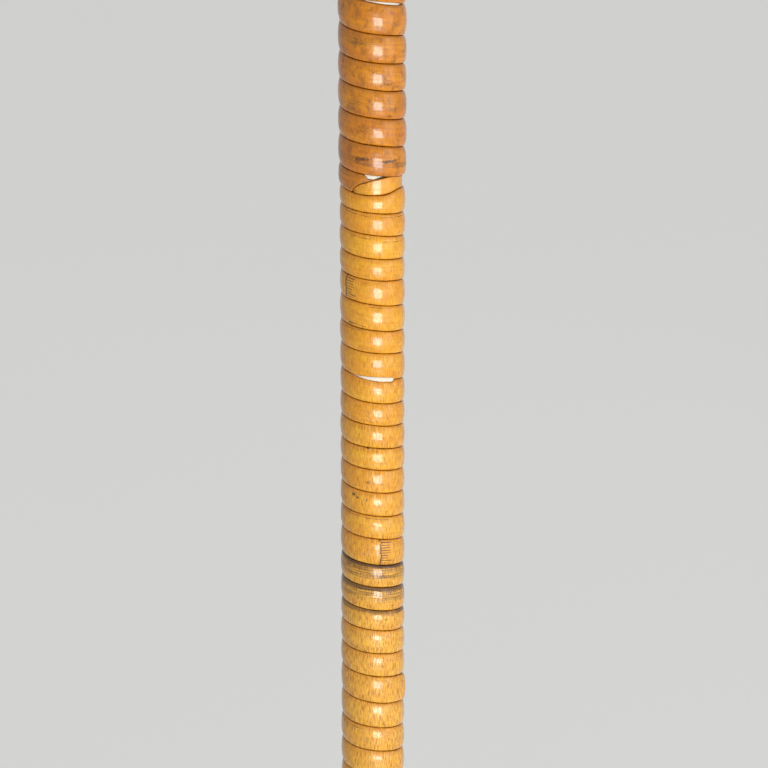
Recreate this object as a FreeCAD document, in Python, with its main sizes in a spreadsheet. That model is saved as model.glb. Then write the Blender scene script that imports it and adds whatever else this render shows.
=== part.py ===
import FreeCAD, Part

import math
import os
import re

import Sketcher
from FreeCAD import Placement, Rotation, Vector

# Candlestick floor lamp: a weighted round foot, a slim stem wound with split cane, a drip dish
# and candle cup at its head, a keyed lamp holder, a harp and an empire shade.
# Millimetres, +Z up, origin on the floor under the middle of the foot.
# The harp lies in the XZ plane, the switch key points to -Y and the cord enters from +Y.

SIZES = {
    # clearances
    "bore_gap": 0.15,
    "thread_gap": 0.05,
    "running_gap": 0.06,
    "seat_gap": 0.05,
    "rest_gap": 0.3,
    # foot
    "felt_thickness": 3,
    "felt_inner_radius": 50,
    "felt_inset": 3,
    "base_radius": 140,
    "base_height": 45,
    "cover_wall": 1.2,
    "rim_height": 20,
    "rim_round": 9,
    "step_inset": 17,
    "step_round": 3,
    "cove_radius": 75,
    "cove_start_radius": 70,
    "cove_start_height": 27,
    "neck_radius": 21,
    "weight_play": 5.8,
    "weight_rim_height": 13,
    "weight_clearance": 1.8,
    "boss_radius": 16,
    "boss_height": 5,
    "well_radius": 38,
    "well_depth": 22,
    "channel_radius": 4.2,
    "well_cover_radius": 46,
    "well_cover_thickness": 1,
    "well_screw_circle": 42,
    "well_screw_depth": 7,
    "well_screw_count": 3,
    "small_screw_radius": 1.5,
    "small_head_radius": 2.8,
    "small_head_height": 1.1,
    # cord inlet
    "inlet_height": 7,
    "inlet_bore_radius": 3.1,
    "grommet_radius": 4.6,
    "grommet_flange_radius": 6,
    "grommet_flange_thickness": 2,
    "grommet_length": 6,
    # threaded tubes, nuts and washers
    "nipple_radius": 5,
    "nipple_bore_radius": 3.5,
    "nipple_reach": 2,
    "nipple_grip": 24,
    "washer_radius": 12,
    "washer_thickness": 1.6,
    "nut_circumradius": 9.8,
    "nut_height": 6,
    # terminal block in the foot
    "block_width": 22,
    "block_length": 14,
    "block_height": 10,
    "block_distance": 23,
    "block_wire_spacing": 12,
    "block_wire_height": 5,
    # stem
    "tube_radius": 8,
    "tube_wall": 1.2,
    "tube_length": 1098,
    "plug_length": 26,
    "collar_seat_height": 6,
    "collar_bead": 3,
    "collar_foot_radius": 18,
    "collar_shoulder_radius": 16,
    "collar_waist_radius": 12.4,
    "collar_cove": 14,
    "collar_height": 26,
    "collar_lip_radius": 13,
    "collar_lip_height": 2,
    "ferrule_flange": 1.5,
    "ferrule_wall": 1.1,
    "ferrule_height": 18,
    "ferrule_edge": 0.8,
    # cane winding
    "cane_thickness": 2.2,
    "cane_edge_height": 1.1,
    "cane_gap": 0.5,
    "cane_seat_gap": 0.15,
    "splice_angle": 248,
    "splice_play": 1,
    "first_cane_pitch": 8.4,
    "first_cane_reach": 201.6,
    "second_cane_pitch": 8.8,
    "second_cane_reach": 207.68,
    "third_cane_pitch": 7.75,
    "third_cane_reach": 182.9,
    "fourth_cane_pitch": 8.3,
    "fourth_cane_reach": 199.2,
    "fifth_cane_pitch": 8.2,
    "fifth_cane_reach": 195.16,
    "sixth_cane_pitch": 8,
    "sixth_cane_reach": 87.86,
    # drip dish and candle cup
    "upper_collar_height": 18,
    "upper_collar_waist": 10,
    "dish_radius": 34,
    "dish_wall": 1,
    "dish_floor_radius": 15,
    "dish_rise": 8,
    "dish_curve": 26,
    "cup_height": 32,
    "cup_foot_radius": 9,
    "cup_belly_radius": 15,
    "cup_belly_height": 13.4,
    "cup_throat_radius": 13,
    "cup_throat_height": 25,
    "cup_lip_radius": 16.5,
    "cup_mouth_radius": 11.5,
    "cup_mouth_depth": 6,
    # harp and its saddle
    "saddle_thickness": 1.6,
    "saddle_width": 14,
    "saddle_tip_width": 4.6,
    "saddle_waist": 12,
    "saddle_span": 39,
    "ear_height": 17,
    "ear_width": 3,
    "ear_thickness": 1.4,
    "ear_offset": 1,
    "harp_wire_radius": 1.75,
    "harp_wire_offset": 0.85,
    "harp_leg_height": 42,
    "harp_belly": 56,
    "harp_belly_low": 88,
    "harp_belly_high": 180,
    "harp_shoulder": 30,
    "harp_height": 233,
    "harp_low_bend": 62,
    "harp_side_bend": 150,
    "harp_high_bend": 90,
    "harp_top_bend": 40,
    "harp_seat_radius": 6.5,
    "harp_seat_height": 4,
    "stud_radius": 3.1,
    "stud_height": 13,
    "sleeve_bore_radius": 2.95,
    "sleeve_wall": 0.85,
    "sleeve_length": 14,
    "sleeve_bead": 0.7,
    # lamp holder
    "cap_hub_radius": 8,
    "cap_hub_height": 6,
    "cap_boss_height": 9.5,
    "cap_wall": 0.8,
    "cap_rim_radius": 19.4,
    "cap_rim_height": 7,
    "shell_gap": 0.1,
    "shell_wall": 0.8,
    "shell_height": 52,
    "shell_overlap": 6,
    "shell_bead": 0.6,
    "liner_wall": 0.7,
    "insulator_floor": 11,
    "insulator_height": 26,
    "insulator_lift": 5,
    "screw_shell_radius": 13.9,
    "screw_shell_wall": 0.5,
    "screw_shell_height": 33,
    "contact_radius": 4,
    "contact_height": 2,
    "terminal_size": 6,
    "terminal_height": 4,
    "terminal_distance": 8,
    "terminal_head": 1.6,
    # switch key
    "key_axis_height": 5.5,
    "key_shaft_radius": 2,
    "key_shaft_start": 5,
    "key_shaft_reach": 26,
    "key_hole_gap": 0.6,
    "key_boss_radius": 3.4,
    "key_boss_length": 6,
    "key_boss_clearance": 3.5,
    "key_blade_length": 12,
    "key_blade_width": 15,
    "key_blade_thickness": 2.6,
    "key_blade_corner": 4.5,
    # bulb
    "bulb_lift": 0.1,
    "bulb_cap_radius": 13.1,
    "bulb_cap_wall": 0.5,
    "bulb_cap_height": 25,
    "bulb_tip_radius": 4,
    "bulb_tip_height": 3,
    "bulb_radius": 30,
    "bulb_glass_wall": 0.8,
    "bulb_neck_radius": 12.4,
    "bulb_neck_height": 28,
    "bulb_centre_height": 83,
    "bulb_join_drop": 18,
    "bulb_neck_curve": 95,
    "bulb_seal_depth": 14,
    "mount_radius": 2.5,
    "mount_height": 50,
    "mount_flare_height": 12,
    "filament_radius": 0.4,
    "filament_span": 13,
    "filament_rise": 20,
    "filament_dip": 10,
    "filament_bend": 2,
    "filament_knee_bend": 6.5,
    "filament_seat": 25,
    # leads
    "lead_radius": 1.3,
    "lead_spacing": 3.2,
    "lead_foot_bend": 9,
    "lead_side_bend": 14,
    "lead_side_reach": 4,
    "lead_head_bend": 6,
    "lead_head_height": 4,
    # shade
    "shade_bottom_radius": 200,
    "shade_top_radius": 120,
    "shade_height": 258,
    "shade_wall": 1,
    "shade_top_drop": 2,
    "trim_width": 11,
    "trim_thickness": 0.6,
    "trim_gap": 0.05,
    "shade_ring_radius": 1.6,
    "shade_rise": 11,
    "spider_wire_radius": 1.4,
    "spider_washer_radius": 11,
    "spider_washer_thickness": 3.2,
    "spider_step_radius": 92,
    "spider_step_length": 12,
    "spider_bend": 8,
    "spider_arm_count": 3,
    # finial
    "finial_height": 34,
    "finial_thread_depth": 13,
    "finial_foot_radius": 7.5,
    "finial_foot_height": 4,
    "finial_neck_radius": 4.4,
    "finial_neck_height": 10,
    "finial_neck_curve": 8,
    "finial_knop_radius": 8.5,
    "finial_knop_height": 20,
    "finial_knop_curve": 9,
    "finial_tip_radius": 2,
    "finial_tip_curve": 16,
}

FULL_TURN = 360
GAP_SAMPLES = 240
BEND_TOLERANCE = 1e-9

document = FreeCAD.newDocument("candlestick_floor_lamp")
sheet = document.addObject("Spreadsheet::Sheet", "Sizes")
for row, (alias, size) in enumerate(SIZES.items(), start=1):
    sheet.set(f"A{row}", alias)
    sheet.set(f"B{row}", str(size))
    sheet.setAlias(f"B{row}", alias)
document.recompute()

pieces = []


# Expressions over the sheet

def sized(expression):
    """The expression with each size name pointing at its cell."""
    return re.sub(r"[a-z][a-z_]+", lambda word: cell(word.group(0)), expression)


def cell(word):
    return f"Sizes.{word}" if word in SIZES else word


def value(expression):
    """The number that an expression over the sheet gives now."""
    return float(sheet.evalExpression(sized(expression)))


def bind(thing, path, expression):
    thing.setExpression(path, sized(expression))


# Levels, from the floor up, each an expression over the sheet

FELT_TOP = "felt_thickness"
WELL_CEILING = "(felt_thickness + well_depth)"
COVER_TOP = "(felt_thickness + base_height)"
COVER_UNDERSIDE = "(felt_thickness + base_height - cover_wall)"
NUT_TOP = "(felt_thickness + well_depth - washer_thickness)"
NUT_BOTTOM = f"({NUT_TOP} - nut_height)"
LOWER_NIPPLE_BOTTOM = f"({NUT_BOTTOM} - nipple_reach)"
TUBE_BOTTOM = f"({COVER_TOP} + collar_seat_height)"
COLLAR_TOP = f"({COVER_TOP} + collar_height)"
WINDING_BOTTOM = f"({COLLAR_TOP} + ferrule_flange + rest_gap)"
TUBE_TOP = f"({TUBE_BOTTOM} + tube_length)"
WINDING_TOP = f"({TUBE_TOP} - ferrule_flange - rest_gap)"
DISH_BOTTOM = f"({TUBE_TOP} + upper_collar_height)"
CUP_BOTTOM = f"({DISH_BOTTOM} + dish_wall)"
SADDLE_BOTTOM = f"({CUP_BOTTOM} + cup_height)"
SOCKET_BASE = f"({SADDLE_BOTTOM} + saddle_thickness)"
CAP_RIM_BOTTOM = f"({SOCKET_BASE} + cap_hub_height + cap_rim_radius - cap_hub_radius)"
CAP_RIM_TOP = f"({CAP_RIM_BOTTOM} + cap_rim_height)"
SHELL_BOTTOM = f"({CAP_RIM_TOP} - shell_overlap)"
SHELL_TOP = f"({SHELL_BOTTOM} + shell_height)"
INSULATOR_BOTTOM = f"({CAP_RIM_BOTTOM} + insulator_lift)"
INSULATOR_DECK = f"({INSULATOR_BOTTOM} + insulator_floor)"
KEY_AXIS = f"({INSULATOR_BOTTOM} + key_axis_height)"
TERMINAL_BOTTOM = f"({INSULATOR_BOTTOM} - terminal_height)"
BULB_BOTTOM = f"({INSULATOR_DECK} + contact_height + bulb_lift)"
BULB_SHOULDER = f"({BULB_BOTTOM} + bulb_tip_height)"
BULB_FOOT = f"({BULB_SHOULDER} + bulb_cap_height - bulb_seal_depth)"
BULB_CENTRE = f"({BULB_BOTTOM} + bulb_centre_height)"
UPPER_NIPPLE_TOP = f"({SOCKET_BASE} + cap_boss_height + nipple_reach)"
HARP_BOTTOM = f"({SOCKET_BASE} + rest_gap)"
HARP_TOP = f"({SOCKET_BASE} + harp_height)"
HARP_SEAT = f"({HARP_TOP} + harp_seat_height - harp_wire_radius)"
SPIDER_TOP = f"({HARP_SEAT} + spider_washer_thickness)"
FINIAL_BOTTOM = f"({SPIDER_TOP} + seat_gap)"
SHADE_RING_LEVEL = f"({HARP_SEAT} + shade_rise)"
SHADE_TOP = f"({SHADE_RING_LEVEL} + shade_top_drop)"
SHADE_BOTTOM = f"({SHADE_TOP} - shade_height)"

# Radii that several pieces share

WEIGHT_RADIUS = "(base_radius - cover_wall - weight_play)"
STEP_RADIUS = "(base_radius - step_inset)"
CLEAR_RADIUS = "(nipple_radius + bore_gap)"
TAPPED_RADIUS = "(nipple_radius + thread_gap)"
TUBE_BORE = "(tube_radius - tube_wall)"
CANE_INNER = "(tube_radius + cane_seat_gap)"
CANE_OUTER = "(tube_radius + cane_seat_gap + cane_thickness)"
FERRULE_BORE = f"({CANE_OUTER} + rest_gap)"
FERRULE_OUTER = f"({FERRULE_BORE} + ferrule_wall)"
SHELL_OUTER = "(cap_rim_radius - cap_wall - shell_gap)"
LINER_OUTER = f"({SHELL_OUTER} - shell_wall - shell_gap)"
INSULATOR_RADIUS = f"({LINER_OUTER} - liner_wall - shell_gap)"
SHADE_SLOPE = "((shade_bottom_radius - shade_top_radius) / shade_height)"
SHADE_RING_INSET = f"(shade_wall + (shade_ring_radius + seat_gap) * sqrt(1 + {SHADE_SLOPE} ^ 2))"


# Bodies and their features

def new_body(label):
    body = document.addObject("PartDesign::Body", label)
    body.Label = label
    pieces.append(body)
    return body


def new_sketch(body, role, name, lift="0"):
    """A sketch on one of the body's own origin planes, lifted along the plane's normal."""
    sketch = body.newObject("Sketcher::SketchObject", f"{body.Label}_{name}")
    support = next(part for part in body.Origin.OriginFeatures if part.Role == role)
    sketch.AttachmentSupport = (support, [""])
    sketch.MapMode = "FlatFace"
    bind(sketch, "AttachmentOffset.Base.z", lift)
    return sketch


def pin_vertex(sketch, edge, end, place):
    """Holds one end of an edge at a place given by two expressions."""
    for kind, axis, expression in (("DistanceX", -2, place[0]), ("DistanceY", -1, place[1])):
        number = value(expression)
        if abs(number) < BEND_TOLERANCE:
            sketch.addConstraint(Sketcher.Constraint("PointOnObject", edge, end, axis))
        else:
            row = sketch.addConstraint(Sketcher.Constraint(kind, -1, 1, edge, end, number))
            bind(sketch, f"Constraints[{row}]", expression)


def arc_middle(start, finish, radius, side):
    """The middle of the arc under a half circle whose centre is left (1) or right (-1)."""
    chord = finish - start
    left = Vector(-chord.y, chord.x, 0).normalize()
    depth = radius - math.sqrt(radius ** 2 - (chord.Length / 2) ** 2)
    return (start + finish) * 0.5 - left * (side * depth)


def closed_outline(sketch, corners):
    """A closed outline. A corner is (x, y), or (x, y, radius, side) where an arc leads to it."""
    count = len(corners)
    places = [Vector(value(corner[0]), value(corner[1]), 0) for corner in corners]
    ends = []
    for index in range(count):
        following = (index + 1) % count
        start, finish = places[index], places[following]
        if len(corners[following]) == 2:
            edge = sketch.addGeometry(Part.LineSegment(start, finish), False)
        else:
            radius, side = corners[following][2:]
            middle = arc_middle(start, finish, value(radius), side)
            edge = sketch.addGeometry(Part.Arc(start, middle, finish), False)
        first = 1 if sketch.getPoint(edge, 1).distanceToPoint(start) < BEND_TOLERANCE ** 0.5 else 2
        ends.append((edge, first, 3 - first))
    for index in range(count):
        edge, _, last = ends[index]
        next_edge, next_first, _ = ends[(index + 1) % count]
        sketch.addConstraint(Sketcher.Constraint("Coincident", edge, last, next_edge, next_first))
    for index, corner in enumerate(corners):
        edge, first, _ = ends[index]
        pin_vertex(sketch, edge, first, corner)
        following = corners[(index + 1) % count]
        if len(following) > 2:
            radius = Sketcher.Constraint("Radius", edge, value(following[2]))
            row = sketch.addConstraint(radius)
            bind(sketch, f"Constraints[{row}]", following[2])


def add_circle(sketch, across, up, radius):
    centre = Vector(value(across), value(up), 0)
    edge = sketch.addGeometry(Part.Circle(centre, Vector(0, 0, 1), value(radius)))
    pin_vertex(sketch, edge, 3, (across, up))
    row = sketch.addConstraint(Sketcher.Constraint("Radius", edge, value(radius)))
    bind(sketch, f"Constraints[{row}]", radius)


def rounded_route(sketch, corners):
    """An open route of straight runs. A corner is (x, y) or, where it is bent, (x, y, radius)."""
    places = [Vector(value(corner[0]), value(corner[1]), 0) for corner in corners]
    last = len(corners) - 1
    for index in range(last):
        sketch.addGeometry(Part.LineSegment(places[index], places[index + 1]), False)
    for index in range(last - 1):
        sketch.addConstraint(Sketcher.Constraint("Coincident", index, 2, index + 1, 1))
    for index, corner in enumerate(corners[:-1]):
        pin_vertex(sketch, index, 1, corner)
    pin_vertex(sketch, last - 1, 2, corners[last])
    for index in range(1, last):
        bend = sketch.GeometryCount
        sketch.fillet(index - 1, 2, value(corners[index][2]), True, True)
        row = sketch.addConstraint(Sketcher.Constraint("Radius", bend, value(corners[index][2])))
        bind(sketch, f"Constraints[{row}]", corners[index][2])


def revolve(body, sketch, cut=False):
    kind = "PartDesign::Groove" if cut else "PartDesign::Revolution"
    feature = body.newObject(kind, f"{sketch.Name}_turn")
    feature.Profile = (sketch, [""])
    feature.ReferenceAxis = (sketch, ["V_Axis"])
    feature.Angle = FULL_TURN
    return feature


def pad(body, sketch, length, midplane=False):
    feature = body.newObject("PartDesign::Pad", f"{sketch.Name}_pad")
    feature.Profile = (sketch, [""])
    feature.Midplane = midplane
    bind(feature, "Length", length)
    return feature


def pocket(body, sketch, length, reverse=False):
    """A cut from the sketch against its plane's normal, or along it when reversed."""
    document.recompute()
    before = body.Shape.Volume
    feature = body.newObject("PartDesign::Pocket", f"{sketch.Name}_pocket")
    feature.Profile = (sketch, [""])
    feature.Reversed = reverse
    bind(feature, "Length", length)
    document.recompute()
    if body.Shape.Volume >= before:
        raise RuntimeError(f"{sketch.Name} cuts nothing")
    return feature


def repeat_round(body, features, count):
    """Copies of the features, evenly round the Z axis."""
    pattern = body.newObject("PartDesign::PolarPattern", f"{body.Label}_pattern")
    pattern.Originals = features
    axis = next(part for part in body.Origin.OriginFeatures if part.Role == "Z_Axis")
    pattern.Axis = (axis, [""])
    pattern.Angle = FULL_TURN
    bind(pattern, "Occurrences", count)
    body.Tip = pattern
    return pattern


def turned(label, corners):
    """A piece turned about Z, from its outline in radius and height."""
    body = new_body(label)
    sketch = new_sketch(body, "XZ_Plane", "outline")
    closed_outline(sketch, corners)
    revolve(body, sketch)
    return body


def ring(label, inner, outer, bottom, top):
    """A plain turned ring, or a disc where the inner radius is 0."""
    return turned(label, [(inner, bottom), (outer, bottom), (outer, top), (inner, top)])


def block(body, name, lift, centre, size, height):
    """A rectangular pad on the XY plane, from lift up, with its centre and size in X and Y."""
    sketch = new_sketch(body, "XY_Plane", name, lift)
    left, right = f"{centre[0]} - {size[0]} / 2", f"{centre[0]} + {size[0]} / 2"
    front, back = f"{centre[1]} - {size[1]} / 2", f"{centre[1]} + {size[1]} / 2"
    closed_outline(sketch, [(left, front), (right, front), (right, back), (left, back)])
    return pad(body, sketch, height)


def round_pad(body, name, lift, place, radius, height):
    sketch = new_sketch(body, "XY_Plane", name, lift)
    add_circle(sketch, place[0], place[1], radius)
    return pad(body, sketch, height)


def round_hole(body, role, name, lift, circles, length, reverse=False):
    """Round holes drilled from a lifted plane; each circle is (across, up, radius)."""
    sketch = new_sketch(body, role, name, lift)
    for across, up, radius in circles:
        add_circle(sketch, across, up, radius)
    return pocket(body, sketch, length, reverse)


# Foot

def felt_ring():
    ring("felt_ring", "felt_inner_radius", "base_radius - felt_inset", "0", FELT_TOP)


def base_weight():
    rim_top = "felt_thickness + weight_rim_height"
    cove_top = "felt_thickness + cove_start_height - weight_clearance - cover_wall"
    boss_bottom = f"{COVER_UNDERSIDE} - boss_height"
    body = turned("base_weight", [
        (CLEAR_RADIUS, WELL_CEILING),
        ("well_radius", WELL_CEILING),
        ("well_radius", FELT_TOP),
        (WEIGHT_RADIUS, FELT_TOP),
        (WEIGHT_RADIUS, rim_top),
        ("cove_start_radius", cove_top),
        ("boss_radius", boss_bottom, "cove_radius", -1),
        ("boss_radius", COVER_UNDERSIDE),
        (CLEAR_RADIUS, COVER_UNDERSIDE),
    ])
    inlet = ("0", "felt_thickness + inlet_height", "channel_radius")
    round_hole(body, "XZ_Plane", "channel", "0", [inlet], f"{WEIGHT_RADIUS} + weight_clearance")
    screw = ("well_screw_circle", "0", "small_screw_radius + thread_gap")
    hole = round_hole(body, "XY_Plane", "screw_hole", FELT_TOP, [screw], "well_screw_depth", True)
    repeat_round(body, [hole], "well_screw_count")


def base_cover():
    shoulder = "felt_thickness + rim_height"
    step_top = f"{shoulder} + step_round"
    cove_start = "felt_thickness + cove_start_height"
    inner_round = "rim_round - cover_wall"
    body = turned("base_cover", [
        ("base_radius", FELT_TOP),
        ("base_radius", f"{shoulder} - rim_round"),
        ("base_radius - rim_round", shoulder, "rim_round", 1),
        (STEP_RADIUS, shoulder),
        (f"{STEP_RADIUS} - step_round", step_top, "step_round", 1),
        ("cove_start_radius", cove_start),
        ("neck_radius", COVER_TOP, "cove_radius", -1),
        (CLEAR_RADIUS, COVER_TOP),
        (CLEAR_RADIUS, COVER_UNDERSIDE),
        ("neck_radius - cover_wall", COVER_UNDERSIDE),
        ("cove_start_radius", f"{cove_start} - cover_wall", "cove_radius + cover_wall", 1),
        (f"{STEP_RADIUS} - step_round", f"{step_top} - cover_wall"),
        (f"{STEP_RADIUS} - cover_wall", f"{shoulder} - cover_wall", "step_round", -1),
        ("base_radius - rim_round", f"{shoulder} - cover_wall"),
        ("base_radius - cover_wall", f"{shoulder} - rim_round", inner_round, -1),
        ("base_radius - cover_wall", FELT_TOP),
    ])
    inlet = ("0", "felt_thickness + inlet_height", "grommet_radius + bore_gap")
    round_hole(body, "XZ_Plane", "inlet", "0", [inlet], "base_radius + cover_wall")


def cord_grommet():
    """A rubber bush in the rim, turned about the cord's own axis and swung to face +Y."""
    face = "base_radius + seat_gap"
    wall = "(cover_wall + bore_gap + rest_gap)"
    lip = "grommet_flange_radius - bore_gap"
    body = turned("cord_grommet", [
        ("inlet_bore_radius", f"{face} - grommet_length"),
        ("grommet_radius", f"{face} - grommet_length"),
        (lip, f"{face} - {wall} - cover_wall"),
        (lip, f"{face} - {wall}"),
        ("grommet_radius", f"{face} - {wall}"),
        ("grommet_radius", face),
        ("grommet_flange_radius", face),
        ("grommet_flange_radius", f"{face} + grommet_flange_thickness / 2"),
        ("inlet_bore_radius + grommet_flange_thickness / 2", f"{face} + grommet_flange_thickness"),
        ("inlet_bore_radius", f"{face} + grommet_flange_thickness"),
    ])
    body.Placement = Placement(Vector(0, 0, 0), Rotation(Vector(1, 0, 0), -90))
    bind(body, "Placement.Base.z", "felt_thickness + inlet_height")


def well_cover():
    body = new_body("well_cover")
    bottom = "felt_thickness - well_cover_thickness"
    round_pad(body, "plate", bottom, ("0", "0"), "well_cover_radius", "well_cover_thickness")
    middle = ("0", "block_distance", "small_screw_radius + thread_gap")
    round_hole(body, "XY_Plane", "middle_hole", FELT_TOP, [middle], "well_cover_thickness")
    screw = ("well_screw_circle", "0", "small_screw_radius + bore_gap")
    hole = round_hole(body, "XY_Plane", "screw_hole", FELT_TOP, [screw], "well_cover_thickness")
    repeat_round(body, [hole], "well_screw_count")


def well_cover_screws():
    body = new_body("well_cover_screws")
    underside = "felt_thickness - well_cover_thickness"
    place = ("well_screw_circle", "0")
    head = round_pad(body, "head", f"{underside} - small_head_height", place,
                     "small_head_radius", "small_head_height")
    shank = round_pad(body, "shank", underside, place, "small_screw_radius",
                      "well_cover_thickness + well_screw_depth - nipple_reach")
    repeat_round(body, [head, shank], "well_screw_count")


def hexagon_nut():
    prism = document.addObject("Part::Prism", "base_nut_blank")
    prism.Polygon = 6
    bind(prism, "Circumradius", "nut_circumradius")
    bind(prism, "Height", "nut_height")
    bind(prism, "Placement.Base.z", NUT_BOTTOM)
    thread = document.addObject("Part::Cylinder", "base_nut_thread")
    bind(thread, "Radius", TAPPED_RADIUS)
    bind(thread, "Height", "nut_height")
    bind(thread, "Placement.Base.z", NUT_BOTTOM)
    nut = document.addObject("Part::Cut", "base_nut")
    nut.Base = prism
    nut.Tool = thread
    nut.Label = "base_nut"
    pieces.append(nut)


def terminal_block():
    body = new_body("terminal_block")
    block(body, "body", FELT_TOP, ("0", "block_distance"), ("block_width", "block_length"), "block_height")
    level = "felt_thickness + block_wire_height"
    wires = [(f"{side} * block_wire_spacing / 2", level, "lead_radius + bore_gap") for side in ("-1", "1")]
    round_hole(body, "XZ_Plane", "wire_holes", "0", wires, "block_distance + block_length")
    top = "felt_thickness + block_height"
    clamps = [(f"{side} * block_wire_spacing / 2", "block_distance", "small_screw_radius + thread_gap")
              for side in ("-1", "1")]
    clamp_depth = "block_height - block_wire_height - lead_radius"
    round_hole(body, "XY_Plane", "clamp_holes", top, clamps, clamp_depth)
    middle = ("0", "block_distance", "small_screw_radius + thread_gap")
    round_hole(body, "XY_Plane", "middle_hole", top, [middle], "block_height")


def terminal_block_screws():
    """The screw that holds the block to the plate, and the two that clamp the leads."""
    body = new_body("terminal_block_screws")
    top = "felt_thickness + block_height"
    grip = "block_height + well_cover_thickness"
    clamp_grip = "block_height - block_wire_height - lead_radius - bore_gap"
    for name, across, depth in (
            ("left", "-1 * block_wire_spacing / 2", clamp_grip),
            ("middle", "0", grip),
            ("right", "block_wire_spacing / 2", clamp_grip)):
        place = (across, "block_distance")
        round_pad(body, f"{name}_shank", f"{top} - ({depth})", place, "small_screw_radius", depth)
        round_pad(body, f"{name}_head", top, place, "small_head_radius", "small_head_height")


# Stem

def stem_collar():
    """A turned collar: a bead at the foot, a cove above it and a lip under the ferrule."""
    bead_bottom = f"{COVER_TOP}"
    bead_middle = f"{COVER_TOP} + collar_bead"
    bead_top = f"{COVER_TOP} + 2 * collar_bead"
    lip_bottom = f"{COLLAR_TOP} - collar_lip_height"
    bead_radius = "collar_foot_radius + collar_bead"
    turned("stem_collar", [
        (CLEAR_RADIUS, COVER_TOP),
        ("collar_foot_radius", bead_bottom),
        (bead_radius, bead_middle, "collar_bead", 1),
        ("collar_foot_radius", bead_top, "collar_bead", 1),
        ("collar_shoulder_radius", bead_top),
        ("collar_shoulder_radius", f"{bead_top} + collar_bead / 2"),
        ("collar_waist_radius", lip_bottom, "collar_cove", -1),
        ("collar_lip_radius", lip_bottom),
        ("collar_lip_radius", COLLAR_TOP),
        ("tube_radius + bore_gap", COLLAR_TOP),
        ("tube_radius + bore_gap", TUBE_BOTTOM),
        (CLEAR_RADIUS, TUBE_BOTTOM),
    ])


def ferrule(label, flange_outer_face, direction):
    """A cup ring over one end of the winding; direction points from its flange to its mouth."""
    inner_face = f"{flange_outer_face} + {direction} * ferrule_flange"
    mouth = f"{flange_outer_face} + {direction} * ferrule_height"
    edge = f"{mouth} - {direction} * ferrule_edge"
    turned(label, [
        ("tube_radius + bore_gap", flange_outer_face),
        (FERRULE_OUTER, flange_outer_face),
        (FERRULE_OUTER, edge),
        (f"{FERRULE_OUTER} - ferrule_edge", mouth, "ferrule_edge", direction_side(direction)),
        (FERRULE_BORE, mouth),
        (FERRULE_BORE, inner_face),
        ("tube_radius + bore_gap", inner_face),
    ])


def direction_side(direction):
    return 1 if direction == "1" else -1


def plug(label, bottom, top):
    """A tapped bush fixed in one end of the tube."""
    ring(label, TAPPED_RADIUS, f"{TUBE_BORE} - seat_gap", bottom, top)


def stem():
    plug("lower_plug", TUBE_BOTTOM, f"{TUBE_BOTTOM} + plug_length")
    ring("stem_tube", TUBE_BORE, "tube_radius", TUBE_BOTTOM, TUBE_TOP)
    plug("upper_plug", f"{TUBE_TOP} - plug_length", TUBE_TOP)
    ferrule("lower_ferrule", COLLAR_TOP, "1")
    ferrule("upper_ferrule", TUBE_TOP, "-1")


def nipple(label, bottom, top):
    """A hollow threaded tube that the leads pass through."""
    ring(label, "nipple_bore_radius", "nipple_radius", bottom, top)


# Cane winding

def cane_strip(label, pitch, turns, lower_edge, angle):
    """One length of split cane, flat inside and crowned outside, wound left-handed round the tube.

    lower_edge and angle are where its lower end starts; it rises from there by pitch each turn.
    """
    width = f"({pitch} - cane_gap)"
    edge_outer = f"{CANE_INNER} + cane_edge_height"
    crown_height = "(cane_thickness - cane_edge_height)"
    crown_radius = f"({width} ^ 2 / (8 * {crown_height}) + {crown_height} / 2)"
    body = new_body(label)
    sketch = new_sketch(body, "XZ_Plane", "section")
    closed_outline(sketch, [
        (CANE_INNER, "0"),
        (edge_outer, "0"),
        (edge_outer, width, crown_radius, 1),
        (CANE_INNER, width),
    ])
    helix = body.newObject("PartDesign::AdditiveHelix", f"{label}_helix")
    helix.Profile = sketch
    helix.ReferenceAxis = (sketch, ["V_Axis"])
    helix.Mode = "pitch-turns-angle"
    helix.LeftHanded = True
    bind(helix, "Pitch", pitch)
    bind(helix, "Turns", turns)
    bind(body, "Placement.Base.z", lower_edge)
    bind(body, "Placement.Rotation.Angle", angle)
    body.Placement.Rotation.Axis = Vector(0, 0, 1)
    return least_gap(value(pitch), value(width))


def least_gap(pitch, width):
    """The least distance between a strip's upper edge and the lower edge one turn above it."""
    radius = value(CANE_INNER)

    def edge_point(turn, lift):
        angle = -math.tau * turn
        return Vector(radius * math.cos(angle), radius * math.sin(angle), pitch * turn + lift)

    below = edge_point(0, width)
    turns = [0.5 + sample / GAP_SAMPLES for sample in range(GAP_SAMPLES + 1)]
    return min(below.distanceToPoint(edge_point(turn, 0)) for turn in turns)


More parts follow.
